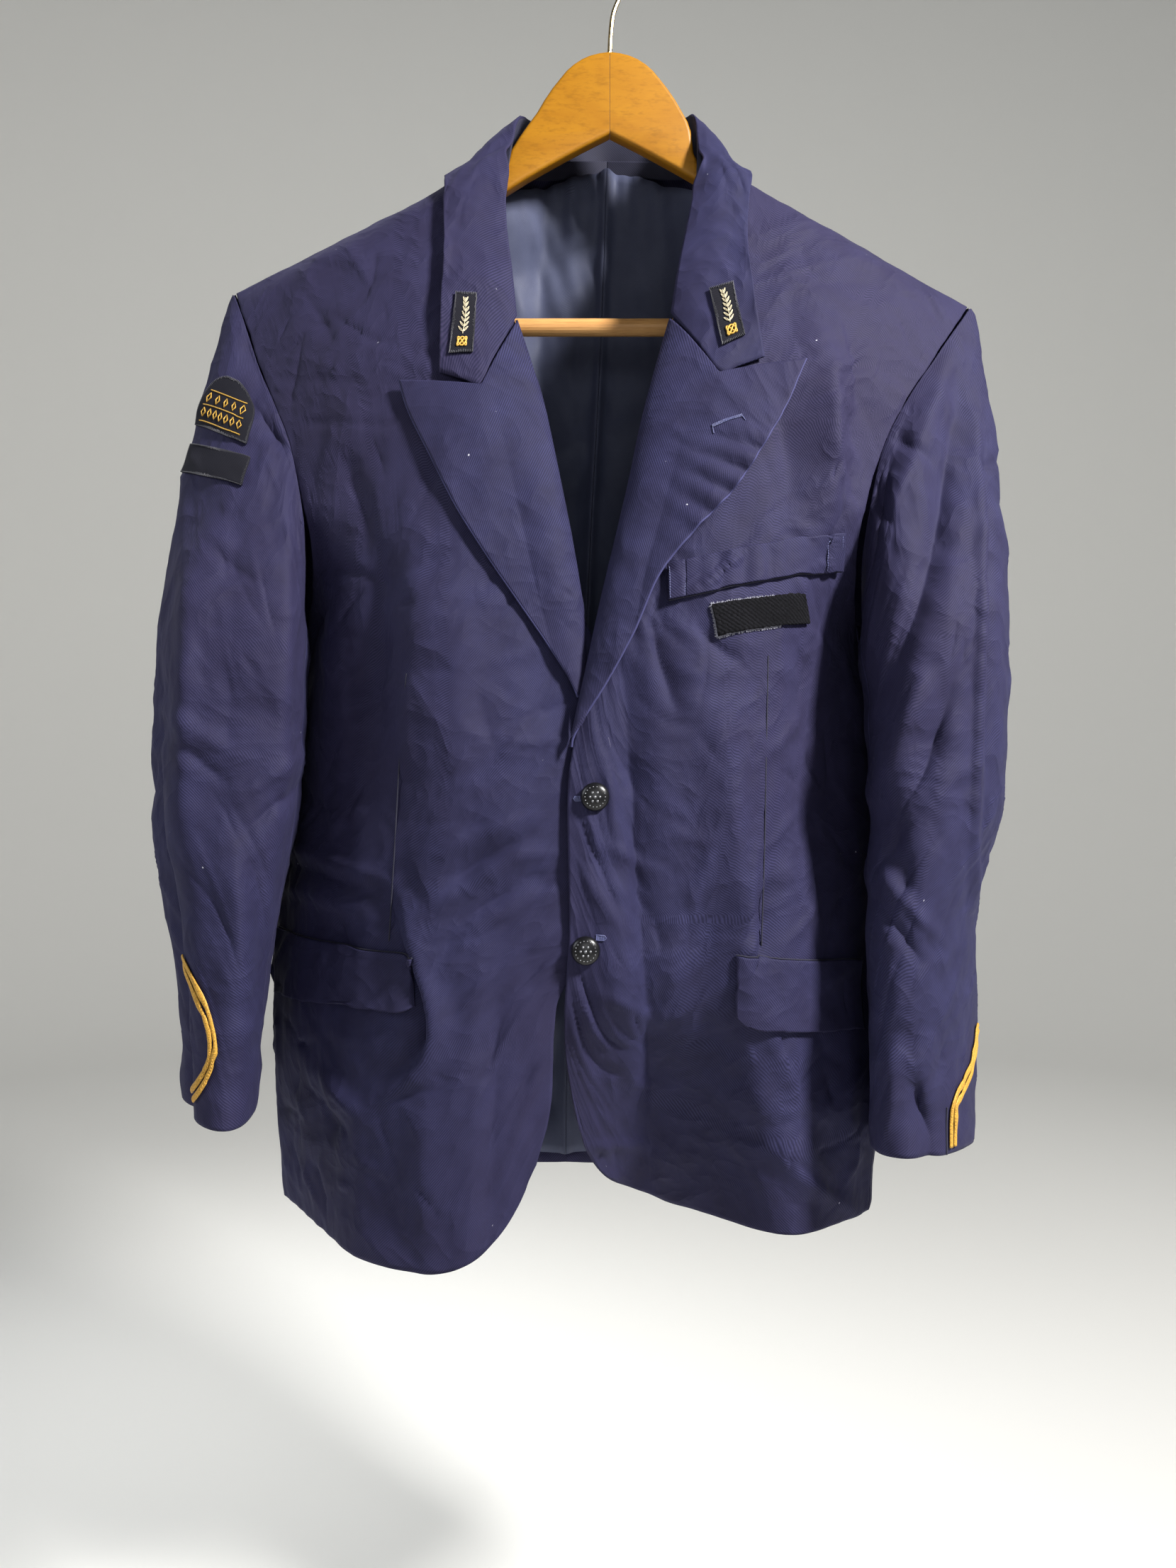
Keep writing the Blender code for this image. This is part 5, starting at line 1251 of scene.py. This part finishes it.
def lapel_grid(side, front, covered):
    """A lapel over its front: it rises in a soft roll, and the left one's edge is ruffled."""
    rows, columns = LAPEL_GRID
    lines = np.array(LAPELS[side])
    lines = through(lines, even_steps(lines[:, 1], rows))
    across = np.linspace(0, 1, columns)
    inner, outer = lines[-1]
    dip = bent_line(inner, GORGE[side], outer, LAPEL_CORNER, across) - between(inner, outer, across)
    seat = tree_once(covered)
    grid = []
    for k, (inner, outer) in enumerate(lines):
        line = between(inner, outer, across) + dip * math.exp((k - rows + 1) / rows / DIP_FADE)
        reach = across * np.linalg.norm(outer - inner)
        high = k / (rows - 1)
        swell = LAPEL_SWELL * math.exp(-((high - 0.35) / 0.35) ** 2)
        lifts = ON_CLOTH + LAPEL_LIFT * (1 - np.exp(-reach / ROLL_RADIUS))
        lifts += swell * np.sin(np.pi * np.minimum(reach / 0.030, 1))
        if side == "left":
            ruffle = math.exp(-((high - 0.66) / 0.13) ** 2) * across**3
            lifts += RUFFLE_DEPTH * ruffle * (1 + math.sin(high * 2 * math.pi * RUFFLES))
            lifts += LEFT_RISE * across * min(1, 2.5 * high) * (1 - 0.6 * max(0, high - 0.8) / 0.2)
        row = all_at(front, line, lifts)
        for point in row:
            under = seat.ray_cast(Vector((point[0], -1, point[2])), Vector(BEHIND))[0]
            if under is not None:
                point[1] = min(point[1], under[1] - 1.3 * CLOTH - ON_CLOTH)
        grid.append(row)
    return np.array(grid)


def dress_lapels(plain, fine):
    grids = {}
    for side in SIDES:
        grid = lapel_grid(side, refined(plain[side][0], 60, 40), fine[side][0])
        push = uneven(grid, "lapel") + np.clip(crumpled(grid, 31, 40, 0.0006), -0.0003, 1)
        grid += np.clip(push, -0.0003, 1)[..., None] * np.array(AHEAD)
        grids[side] = grid
        woven(f"lapel_{side}", grid)
    lines = [all_at(grids["left"], [spot(*place) for place in LAPEL_HOLE], 0.0003)]
    for share in np.linspace(0, 1, 26):
        bar = [(px + 40 * share, py - 15 * share) for px, py in LAPEL_HOLE_BAR]
        lines.append(all_at(grids["left"], [spot(*place) for place in bar], 0.0004))
    strand("lapel_buttonhole", lines, 0.00030, "blue thread", 2)
    return grids


def dress_collar(plain):
    """The turned-down collar, and the stand inside it from the neck seam up to the fold."""
    fall = refined(collar_grid(plain), 36, 260)
    fall += (crumpled(fall, 37, 60, 0.0005) + uneven(fall, "collar"))[..., None] * facing(fall)
    woven("collar_fall", fall)
    seam = neck_edge(plain, STAND_COLUMNS)
    rows = np.array([[fold, outer] for _, fold, outer in COLLAR])
    fold = through(rows, even_steps(rows[:, 0], STAND_COLUMNS))[:, 0]
    inward = -unit(np.array([from_neck(p) * (1, 1, 0) for p in seam]))
    seam = seam + inward * 0.0008 - np.array([0, 0, 0.0010])
    fold = fold + inward * 0.0004 - np.array([0, 0, 0.0002])
    stand = refined(np.array([seam * (1 - s) + fold * s for s in np.linspace(0, 1, 4)]), 20, 200)
    woven("collar_stand", stand, "band", BEHIND, THIN, inward=True)
    return fall


def dress_lining(plain):
    """Satin with long soft folds, gathered into the neck band, and a pleat down its middle."""
    rows, columns = LINING_GRID
    high, over = np.linspace(0, 1, rows)[:, None], np.linspace(0, 1, columns)[None, :]
    tilt = 0.10 * np.sin(2.2 * high + 0.6) + 0.05 * np.sin(5 * high)
    folds = 0.0
    for count, depth, shift in LINING_FOLDS:
        wave = np.sin(2 * np.pi * count * (over + tilt * over) + shift + 0.8 * np.sin(3 * high + shift))
        folds = folds + depth * wave * np.exp(-((over - 0.28) / 0.42) ** 2)
    gather = 0.0007 * np.exp(-((1 - high) / 0.05) ** 2) * np.sin(2 * np.pi * 13 * over + 2 * np.sin(9 * over))
    slant = 0.0016 * np.sin(2 * np.pi * (2.2 * over + 3.5 * high)) * np.exp(-((high - 0.72) / 0.2) ** 2)
    pleat = 0.0055 * np.exp(-(over / 0.020) ** 2)
    falls = LINING_TOP + LINING_FALL * np.linspace(0, 1, 7) ** LINING_CURVE
    for side, calm in (("right", 1.0), ("left", 0.6)):
        back = plain[side][2]
        last = len(back) - 1.0
        inward = -facing(back, BEHIND)
        inward[:, :2, 0] *= np.array([0.0, 0.5])
        hung = (back + inward * LINING_DEPTH).transpose(1, 0, 2)
        lines = through(hung, np.linspace(0, (back.shape[1] - 1) * LINING_SHARE, 7))
        grid = [through(line, np.linspace(0.35, last - fall, 13)) for line, fall in zip(lines, falls)]
        grid = refined(np.array(grid).transpose(1, 0, 2), rows, columns)
        soft = uneven(grid, "lining") * np.clip(over / 0.06, 0, 1)
        creases = crumpled(grid, 41 + len(side), 60, 0.0032, 1.2)
        push = 0.0070 + calm * (0.6 * folds + soft + creases) + gather + slant * calm + pleat
        grid = grid + push[..., None] * np.array(AHEAD)
        woven(f"lining_{side}", grid, "lining", BEHIND, SATIN, inward=True)
        band = through(back + inward * BAND_DEPTH, np.linspace(last - LINING_TOP + 0.02, last, 3))
        band = through(band.transpose(1, 0, 2), np.linspace(0, NECK_STATION * 2.0, 6)).transpose(1, 0, 2)
        band = refined(band, 12, 60) + np.array([0, -0.0032, 0])
        woven(f"neck_band_{side}", band, "band", BEHIND, THIN, inward=True)


def dress_flaps(fine):
    """The pocket flaps, lying on their fronts from column to column, with a rounded lower corner."""
    for side, (start, end, low, high, corner, reach) in FLAPS.items():
        front = fine[side][0]
        last = column_at(front, *end)
        rows = []
        for down in np.linspace(1, 0, 34):
            first = column_at(front, start[0], start[1] - down * low)
            row = []
            for s in np.linspace(0, 1, 80):
                rounded = corner * max(0, 1 - s / reach) ** 2 * down**4
                z = start[1] + (end[1] - start[1]) * s - down * (low + (high - low) * s) + rounded
                curl = 0.0007 * math.sin(9 * s + 1) * down
                row.append(on_panel(front, first + (last - first) * s, z, ON_CLOTH + 0.0020 * down + curl))
            rows.append(row)
        woven(f"flap_{side}", np.array(rows), wall=FLAP_WALL)
        # A dark line of painted seam shadow along the flap's top edge.
        strand(f"flap_seam_{side}", [np.array(rows[-1]) + np.array([0, -0.0004, 0.0006])], 0.0005, "seam")


def dress_welt(left):
    """The chest pocket's welt, puckered, with a stitched tab at each end."""
    start, end = np.array(WELT_ENDS)
    rise = np.array([0.0, WELT_HEIGHT])
    columns, rows = WELT_GRID
    over = np.linspace(0, 1, columns)
    puckers = 0.0008 * np.sin(2 * np.pi * 9 * over + 2 * np.sin(7 * over))
    puckers *= np.exp(-((over - 0.45) / 0.22) ** 2)
    tabs = np.where((over < WELT_TABS[0]) | (over > WELT_TABS[1]), 0.0010, 0.0)
    flat = quad_grid((start, end, end + rise, start + rise), columns, rows)
    welt = np.array([all_at(left, row, 0.0012 + (puckers + tabs)) for row in flat])
    woven("chest_welt", welt, wall=FLAP_WALL)
    lines = []
    for share in (0.008, *WELT_TABS, 0.992):
        route = welt[1:-1, round(share * (columns - 1))] + np.array([0, -0.0020, 0])
        lines += stitches(route, 0.0015, 0.72)
    strand("welt_stitches", lines, 0.00030, "blue thread")
    # A dark line of painted seam shadow along the welt's lower edge.
    strand("welt_seam", [welt[0] + np.array([0, -0.0003, -0.0004])], 0.0005, "seam")


def badge_edges(name, grid):
    """Uneven overlock stitches round a badge's edge."""
    rng = random.Random(name)
    rim = np.vstack([grid[0], grid[1:, -1], grid[-1][::-1][1:], grid[::-1, 0][1:]])
    out = facing(grid).reshape(-1, 3).mean(axis=0)
    out /= np.linalg.norm(out)
    middle, far = grid.reshape(-1, 3).mean(axis=0), along(rim)
    found = []
    for s in np.arange(0, far[-1], 0.0011):
        point = place_at(rim, far, s) + out * (THIN + 0.0002)
        way = middle - point
        way = unit(way - out * (way @ out))
        found.append(np.array([point - way * 0.0004, point + way * rng.uniform(0.0008, 0.0017)]))
    strand(f"{name}_edge", found, 0.00022, "grey thread")


def frayed(name, grid, front):
    """Loose pale threads sticking out from under a strip, along its left two thirds."""
    rng = random.Random(name)
    middle = grid.reshape(-1, 3).mean(axis=0)
    last = int(grid.shape[1] * 0.66)
    found = []
    for route in (grid[-1, :last], grid[:, 0], grid[0, :last]):
        far, run = along(route), unit(route[-1] - route[0])
        for s in np.arange(0, far[-1], 0.00035):
            point = place_at(route, far, s)
            away = point - middle
            away = unit(away - run * (away @ run)) + run * rng.uniform(-0.5, 0.5)
            tip = point + away * rng.uniform(0.0007, 0.0019)
            found.append(all_at(front, [(p[0], p[2]) for p in (point - away * 0.0006, point, tip)], ON_CLOTH))
    strand(f"{name}_frayed", found, 0.00024, "frayed")


def sprig(name, grid):
    """A leafy twig in pale thread over a knot of gold cord, sewn on a badge."""
    stem = [(0.5 + 0.06 * math.sin(3 * t), 0.30 + 0.60 * t) for t in np.linspace(0, 1, 12)]
    pale = [on_grid(grid, stem, THIN + 0.0005)]
    shares = np.linspace(0, 1, 6)
    for t in np.linspace(0, 1, 7):
        u, v = 0.5 + 0.06 * math.sin(3 * t), 0.33 + 0.50 * t
        for side in (-1, 1):
            for lobe in (-1, 1):
                swell = lobe * np.sin(np.pi * shares)
                leaf = zip(u + side * ((0.21 - 0.10 * t) * shares + 0.022 * swell),
                           v + 0.085 * shares**1.2 - 0.006 * swell)
                pale.append(on_grid(grid, leaf, THIN + 0.0004))
    strand(f"{name}_twig", pale, 0.00027, "pale thread")
    knot = [(0.5 + 0.20 * math.sin(2 * a), 0.17 + 0.075 * math.cos(3 * a))
            for a in np.linspace(0, 2 * math.pi, 40)]
    strand(f"{name}_knot", [on_grid(grid, knot, THIN + 0.0006)], 0.00055, "gold thread")


def dress_chest_strip(left):
    start, end, height = CHEST_STRIP
    fall = np.array([STRIP_LEAN, -height])
    flat = quad_grid((np.array(start) + fall, np.array(end) + fall, end, start), 120, 34)
    strip = np.array([all_at(left, row, 0.0012) for row in flat])
    rough = np.random.default_rng(5).uniform(0, 0.0005, strip.shape[:2])
    rough[[0, -1]] = 0
    strip[..., 1] -= rough
    woven("chest_strip", strip, "loops", wall=THIN)
    frayed("chest_strip", strip, left)


def on_sleeve(sleeve, turn, z, lift):
    """The point of an upper sleeve at this many turns from the shoulder line."""
    first, last = SLEEVE_PIECES["upper"][:2]
    return on_panel(sleeve, (turn - first) / (last - first) * (sleeve.shape[1] - 1), z, lift)


def dress_shoulder(sleeve):
    """The shoulder patch, a dome with a generic gold ornament, and the strip under it."""
    turn, foot, high, slope = (SHOULDER_PATCH[key] for key in ("turn", "foot_z", "height", "slope"))
    dome = []
    for v in np.linspace(0, 1, 30):
        half = SHOULDER_PATCH["half_turn"] * math.sqrt(1 - (0.985 * v) ** 2.4)
        dome.append([on_sleeve(sleeve, turn + half * s, foot + high * v - slope * half * s, 0.0008)
                     for s in np.linspace(-1, 1, 40)])
    dome = np.array(dome)
    woven("shoulder_patch", dome, "black", BADGE_WAY, THIN)
    badge_edges("shoulder_patch", dome)
    gold = []
    for v, count, size in ((0.26, 7, 0.060), (0.52, 5, 0.065)):
        for u in 0.16 + 0.68 * np.linspace(0, 1, count):
            ring = [(u + size * 0.55 * math.cos(a), v + size * 1.25 * math.sin(a))
                    for a in np.linspace(0, 2 * math.pi, 5)]
            gold.append(on_grid(dome, ring, THIN + 0.0004))
    for v in (0.10, 0.39, 0.66):
        gold.append(on_grid(dome, [(u, v) for u in np.linspace(0.12, 0.88, 24)], THIN + 0.0003))
    strand("shoulder_patch_ornament", gold, 0.00042, "gold thread")
    first, last = SLEEVE_STRIP["turns"]
    top, slope, height = (SLEEVE_STRIP[key] for key in ("top_z", "slope", "height"))
    strip = np.array([[on_sleeve(sleeve, first + (last - first) * s, top - slope * s - height * down, 0.0008)
                       for s in np.linspace(0, 1, 40)] for down in np.linspace(1, 0, 14)])
    woven("sleeve_strip", strip, "black", BADGE_WAY, THIN)
    badge_edges("sleeve_strip", strip)


def dress_collar_patches(fall):
    for side, corners in COLLAR_PATCHES.items():
        name = f"collar_patch_{side}"
        patch = cast_on(fall, quad_grid(corners, 26, 50), ON_CLOTH)
        woven(name, patch, "black", wall=THIN)
        badge_edges(name, patch)
        sprig(name, patch)


def dress_cuffs(sleeves):
    """Two rows of ribbed gold braid on each cuff, and the left one's vent as a dark line of painted shadow.
    """
    for side in SIDES:
        sleeve = sleeves[f"upper_{side}"]
        line = through(CUFF_BRAID[side], np.linspace(0, len(CUFF_BRAID[side]) - 1, 90))
        way = unit(np.gradient(line, axis=0) * (TURN_LENGTH, 1))
        aside = np.column_stack([-way[:, 1] / TURN_LENGTH, way[:, 0]])
        for name, off in (("inner", 0.0), ("outer", BRAID_PITCH)):
            ribbon = np.array([[on_sleeve(sleeve, t, z, 0.0007 + 0.0006 * math.sin(math.pi * s))
                                for t, z in line + aside * (off + BRAID_WIDTH * s)]
                               for s in np.linspace(0, 1, 7)])
            woven(f"cuff_braid_{name}_{side}", ribbon, "gold", wall=BRAID_WALL)
            ribs = [ribbon[1:6, k] + np.array([0, -0.0009, 0]) for k in range(1, 89, 2)]
            strand(f"cuff_braid_ribs_{name}_{side}", ribs, 0.00028, "gold")
    # The vent is a dark line of painted shadow.
    vent = [on_sleeve(sleeves["upper_left"], 0.104, z, 0.0002) for z in np.linspace(-0.7600, -0.7905, 20)]
    strand("cuff_vent", [np.array(vent)], 0.0006, "seam")


def dome_height(share):
    """The height of a button's dome, of which the rim keeps a little."""
    return BUTTON_HEIGHT * (0.12 + 0.88 * share**0.8)


def dress_buttons(left):
    """Glossy domes with a generic silver crest: a ring of beads round a small rosette."""
    for name, (x, z) in BUTTONS.items():
        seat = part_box(f"button_{name}")[0][1] + BUTTON_HEIGHT

        def place(radius, height, angle):
            return x + radius * math.cos(angle), seat - height, z + radius * math.sin(angle)

        profile = [(BUTTON_RADIUS * math.sin(a), dome_height(math.cos(a)))
                   for a in np.linspace(0, math.pi / 2, 16)]
        profile += [(BUTTON_RADIUS, 0.0002), (BUTTON_RADIUS * 0.90, 0.0), (SHANK_RADIUS, 0.0),
                    (SHANK_RADIUS, -0.0045), (0, -0.0045)]
        mesh = turned(f"shown_button_{name}", profile, 48, place)
        piece(f"shown_button_{name}", mesh, "button", [f"button_{name}"])
        bm = bmesh.new()
        for share, count, size in CREST_BEADS:
            height = dome_height(math.sqrt(1 - share**2))
            for k in range(count):
                bead = Matrix.Translation(place(share * BUTTON_RADIUS, height, 2 * math.pi * k / count))
                bmesh.ops.create_icosphere(bm, subdivisions=2, radius=size, matrix=bead)
        piece(f"button_crest_{name}", mesh_of(f"button_crest_{name}", bm), "silver")
        way, rise = BUTTONHOLES[name]
        lines = [all_at(left, [(x + way * t, z + rise + d) for d in (-0.0014, 0.0014)], 0.0004)
                 for t in np.linspace(0.0062, 0.0114, 10)]
        lines.append(all_at(left, [(x + way * dx, z + rise + dz) for dx, dz in BUTTONHOLE_LOOP], 0.0005))
        strand(f"buttonhole_{name}", lines, 0.00028, "blue thread")


def dress_seams(fine, lapels):
    """Darts, the side and centre seams of the back, and the lapels' edges, as fine lines: the seams dark with
    painted seam shadow, the lapels' edges lighter than the cloth as a painted highlight.
    """
    # The lapels' edge strands are lighter than the cloth, a painted highlight along the edges.
    edges = [grid[:, -1] + np.array([0, -CLOTH * 0.5, 0]) for grid in lapels.values()]
    strand("lapel_edges", edges, CLOTH * 0.45, "edge", 2)
    # Dark lines of painted seam shadow along the darts and the back's seams.
    darts = [on_front(fine[side][0], DARTS[side], 0.00005) for side in SIDES]
    strand("darts", [through(route, np.linspace(0, 3, 40)) for route in darts], 0.00045, "seam")
    lines = [back[:, -1] + body_way(back[:, -1]) * CLOTH for _, _, back in fine.values()]
    lines.append(fine["right"][2][:, 0] + np.array([0, CLOTH * 0.9, 0]))
    strand("long_seams", lines, 0.0005, "seam")


def dress_hanger():
    """Both arms, rounded as one board and cut down the middle where they are joined."""
    data = bpy.data.curves.new("board", "CURVE")
    data.dimensions = "2D"
    data.fill_mode = "BOTH"
    data.extrude = HANGER_THICK / 2 - HANGER_ROUND
    data.bevel_depth = HANGER_ROUND
    data.bevel_resolution = 4
    data.offset = -HANGER_ROUND
    outline = np.vstack([arm_outline("left"), arm_outline("right")[::-1][1:-1]])
    spline = data.splines.new("POLY")
    spline.points.add(len(outline) - 1)
    for point, (x, z) in zip(spline.points, outline):
        point.co = (x, z, 0, 1)
    spline.use_cyclic_u = True
    board = linked("board", data)
    bpy.context.view_layer.update()
    shape = bpy.data.meshes.new_from_object(board.evaluated_get(bpy.context.evaluated_depsgraph_get()))
    bpy.data.objects.remove(board)
    for side, out in SIDES.items():
        bm = bmesh.new()
        bm.from_mesh(shape)
        bmesh.ops.remove_doubles(bm, verts=bm.verts, dist=1e-6)
        bmesh.ops.bisect_plane(
            bm, geom=bm.verts[:] + bm.edges[:] + bm.faces[:], dist=1e-7,
            plane_co=(out * 0.00012, 0, 0), plane_no=(out, 0, 0), clear_inner=True,
        )
        bmesh.ops.holes_fill(bm, edges=[e for e in bm.edges if e.is_boundary])
        bmesh.ops.transform(bm, matrix=Matrix.Rotation(math.pi / 2, 4, "X"), verts=bm.verts)
        bmesh.ops.recalc_face_normals(bm, faces=bm.faces)
        mesh = mesh_of(f"shown_arm_{side}", bm)
        piece(f"shown_arm_{side}", mesh, "wood", [f"hanger_arm_{side}"])
        mesh.set_sharp_from_angle(angle=math.radians(32))
    for name, finish in (("hanger_bar", "bar"), ("hanger_hook", "brass")):
        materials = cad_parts[name].data.materials
        materials.clear()
        materials.append(FINISH[finish])


def studio():
    """A pale bowl all round, soft lights and the camera of the picture."""
    profile = [(0.0, -1.30)]
    profile += [(2.6 + 1.4 * math.sin(a), 0.1 - 1.4 * math.cos(a)) for a in np.linspace(0, math.pi / 2, 14)]
    profile += [(4.0, 1.2), (4.0, 3.2)]
    bowl = turned("studio_bowl", profile, 64,
                  lambda radius, z, a: (radius * math.cos(a), radius * math.sin(a), z))
    bowl.shade_smooth()
    bowl.materials.append(principled("pale backdrop", (0.64, 0.64, 0.62), 0.9)[0])
    linked("studio_bowl", bowl)
    for name, place, aim, spread, size, power, color in LAMPS:
        data = bpy.data.lights.new(name, "AREA")
        data.energy, data.size, data.color, data.spread = power, size, color, math.radians(spread)
        lamp = linked(name, data)
        lamp.location = place
        lamp.rotation_euler = (Vector(aim) - Vector(place)).to_track_quat("-Z", "Y").to_euler()
    scene = bpy.context.scene
    scene.world = bpy.data.worlds.new("studio")
    scene.world.use_nodes = True
    scene.world.node_tree.nodes["Background"].inputs[0].default_value = (0.90, 0.93, 1.0, 1)
    scene.world.node_tree.nodes["Background"].inputs[1].default_value = 0.05
    data = bpy.data.cameras.new("camera")
    data.sensor_width = 36
    data.lens = data.sensor_width * FOCAL / PICTURE[1]
    scene.camera = linked("camera", data)
    scene.camera.location = CAMERA
    scene.camera.rotation_euler = (math.pi / 2, 0, 0)
    scene.view_settings.view_transform = "Standard"


KEPT = {}
FINISH = finishes()
plain_panels, fine_panels = {}, {}
dress_body(plain_panels, fine_panels)
sleeve_grids = dress_sleeves(plain_panels, fine_panels)
lapel_grids = dress_lapels(plain_panels, fine_panels)
collar_fall = dress_collar(plain_panels)
dress_lining(plain_panels)
dress_flaps(fine_panels)
dress_welt(fine_panels["left"][0])
dress_chest_strip(fine_panels["left"][0])
dress_shoulder(sleeve_grids["upper_right"])
dress_collar_patches(collar_fall)
dress_cuffs(sleeve_grids)
dress_buttons(fine_panels["left"][0])
dress_seams(fine_panels, lapel_grids)
dress_hanger()
studio()
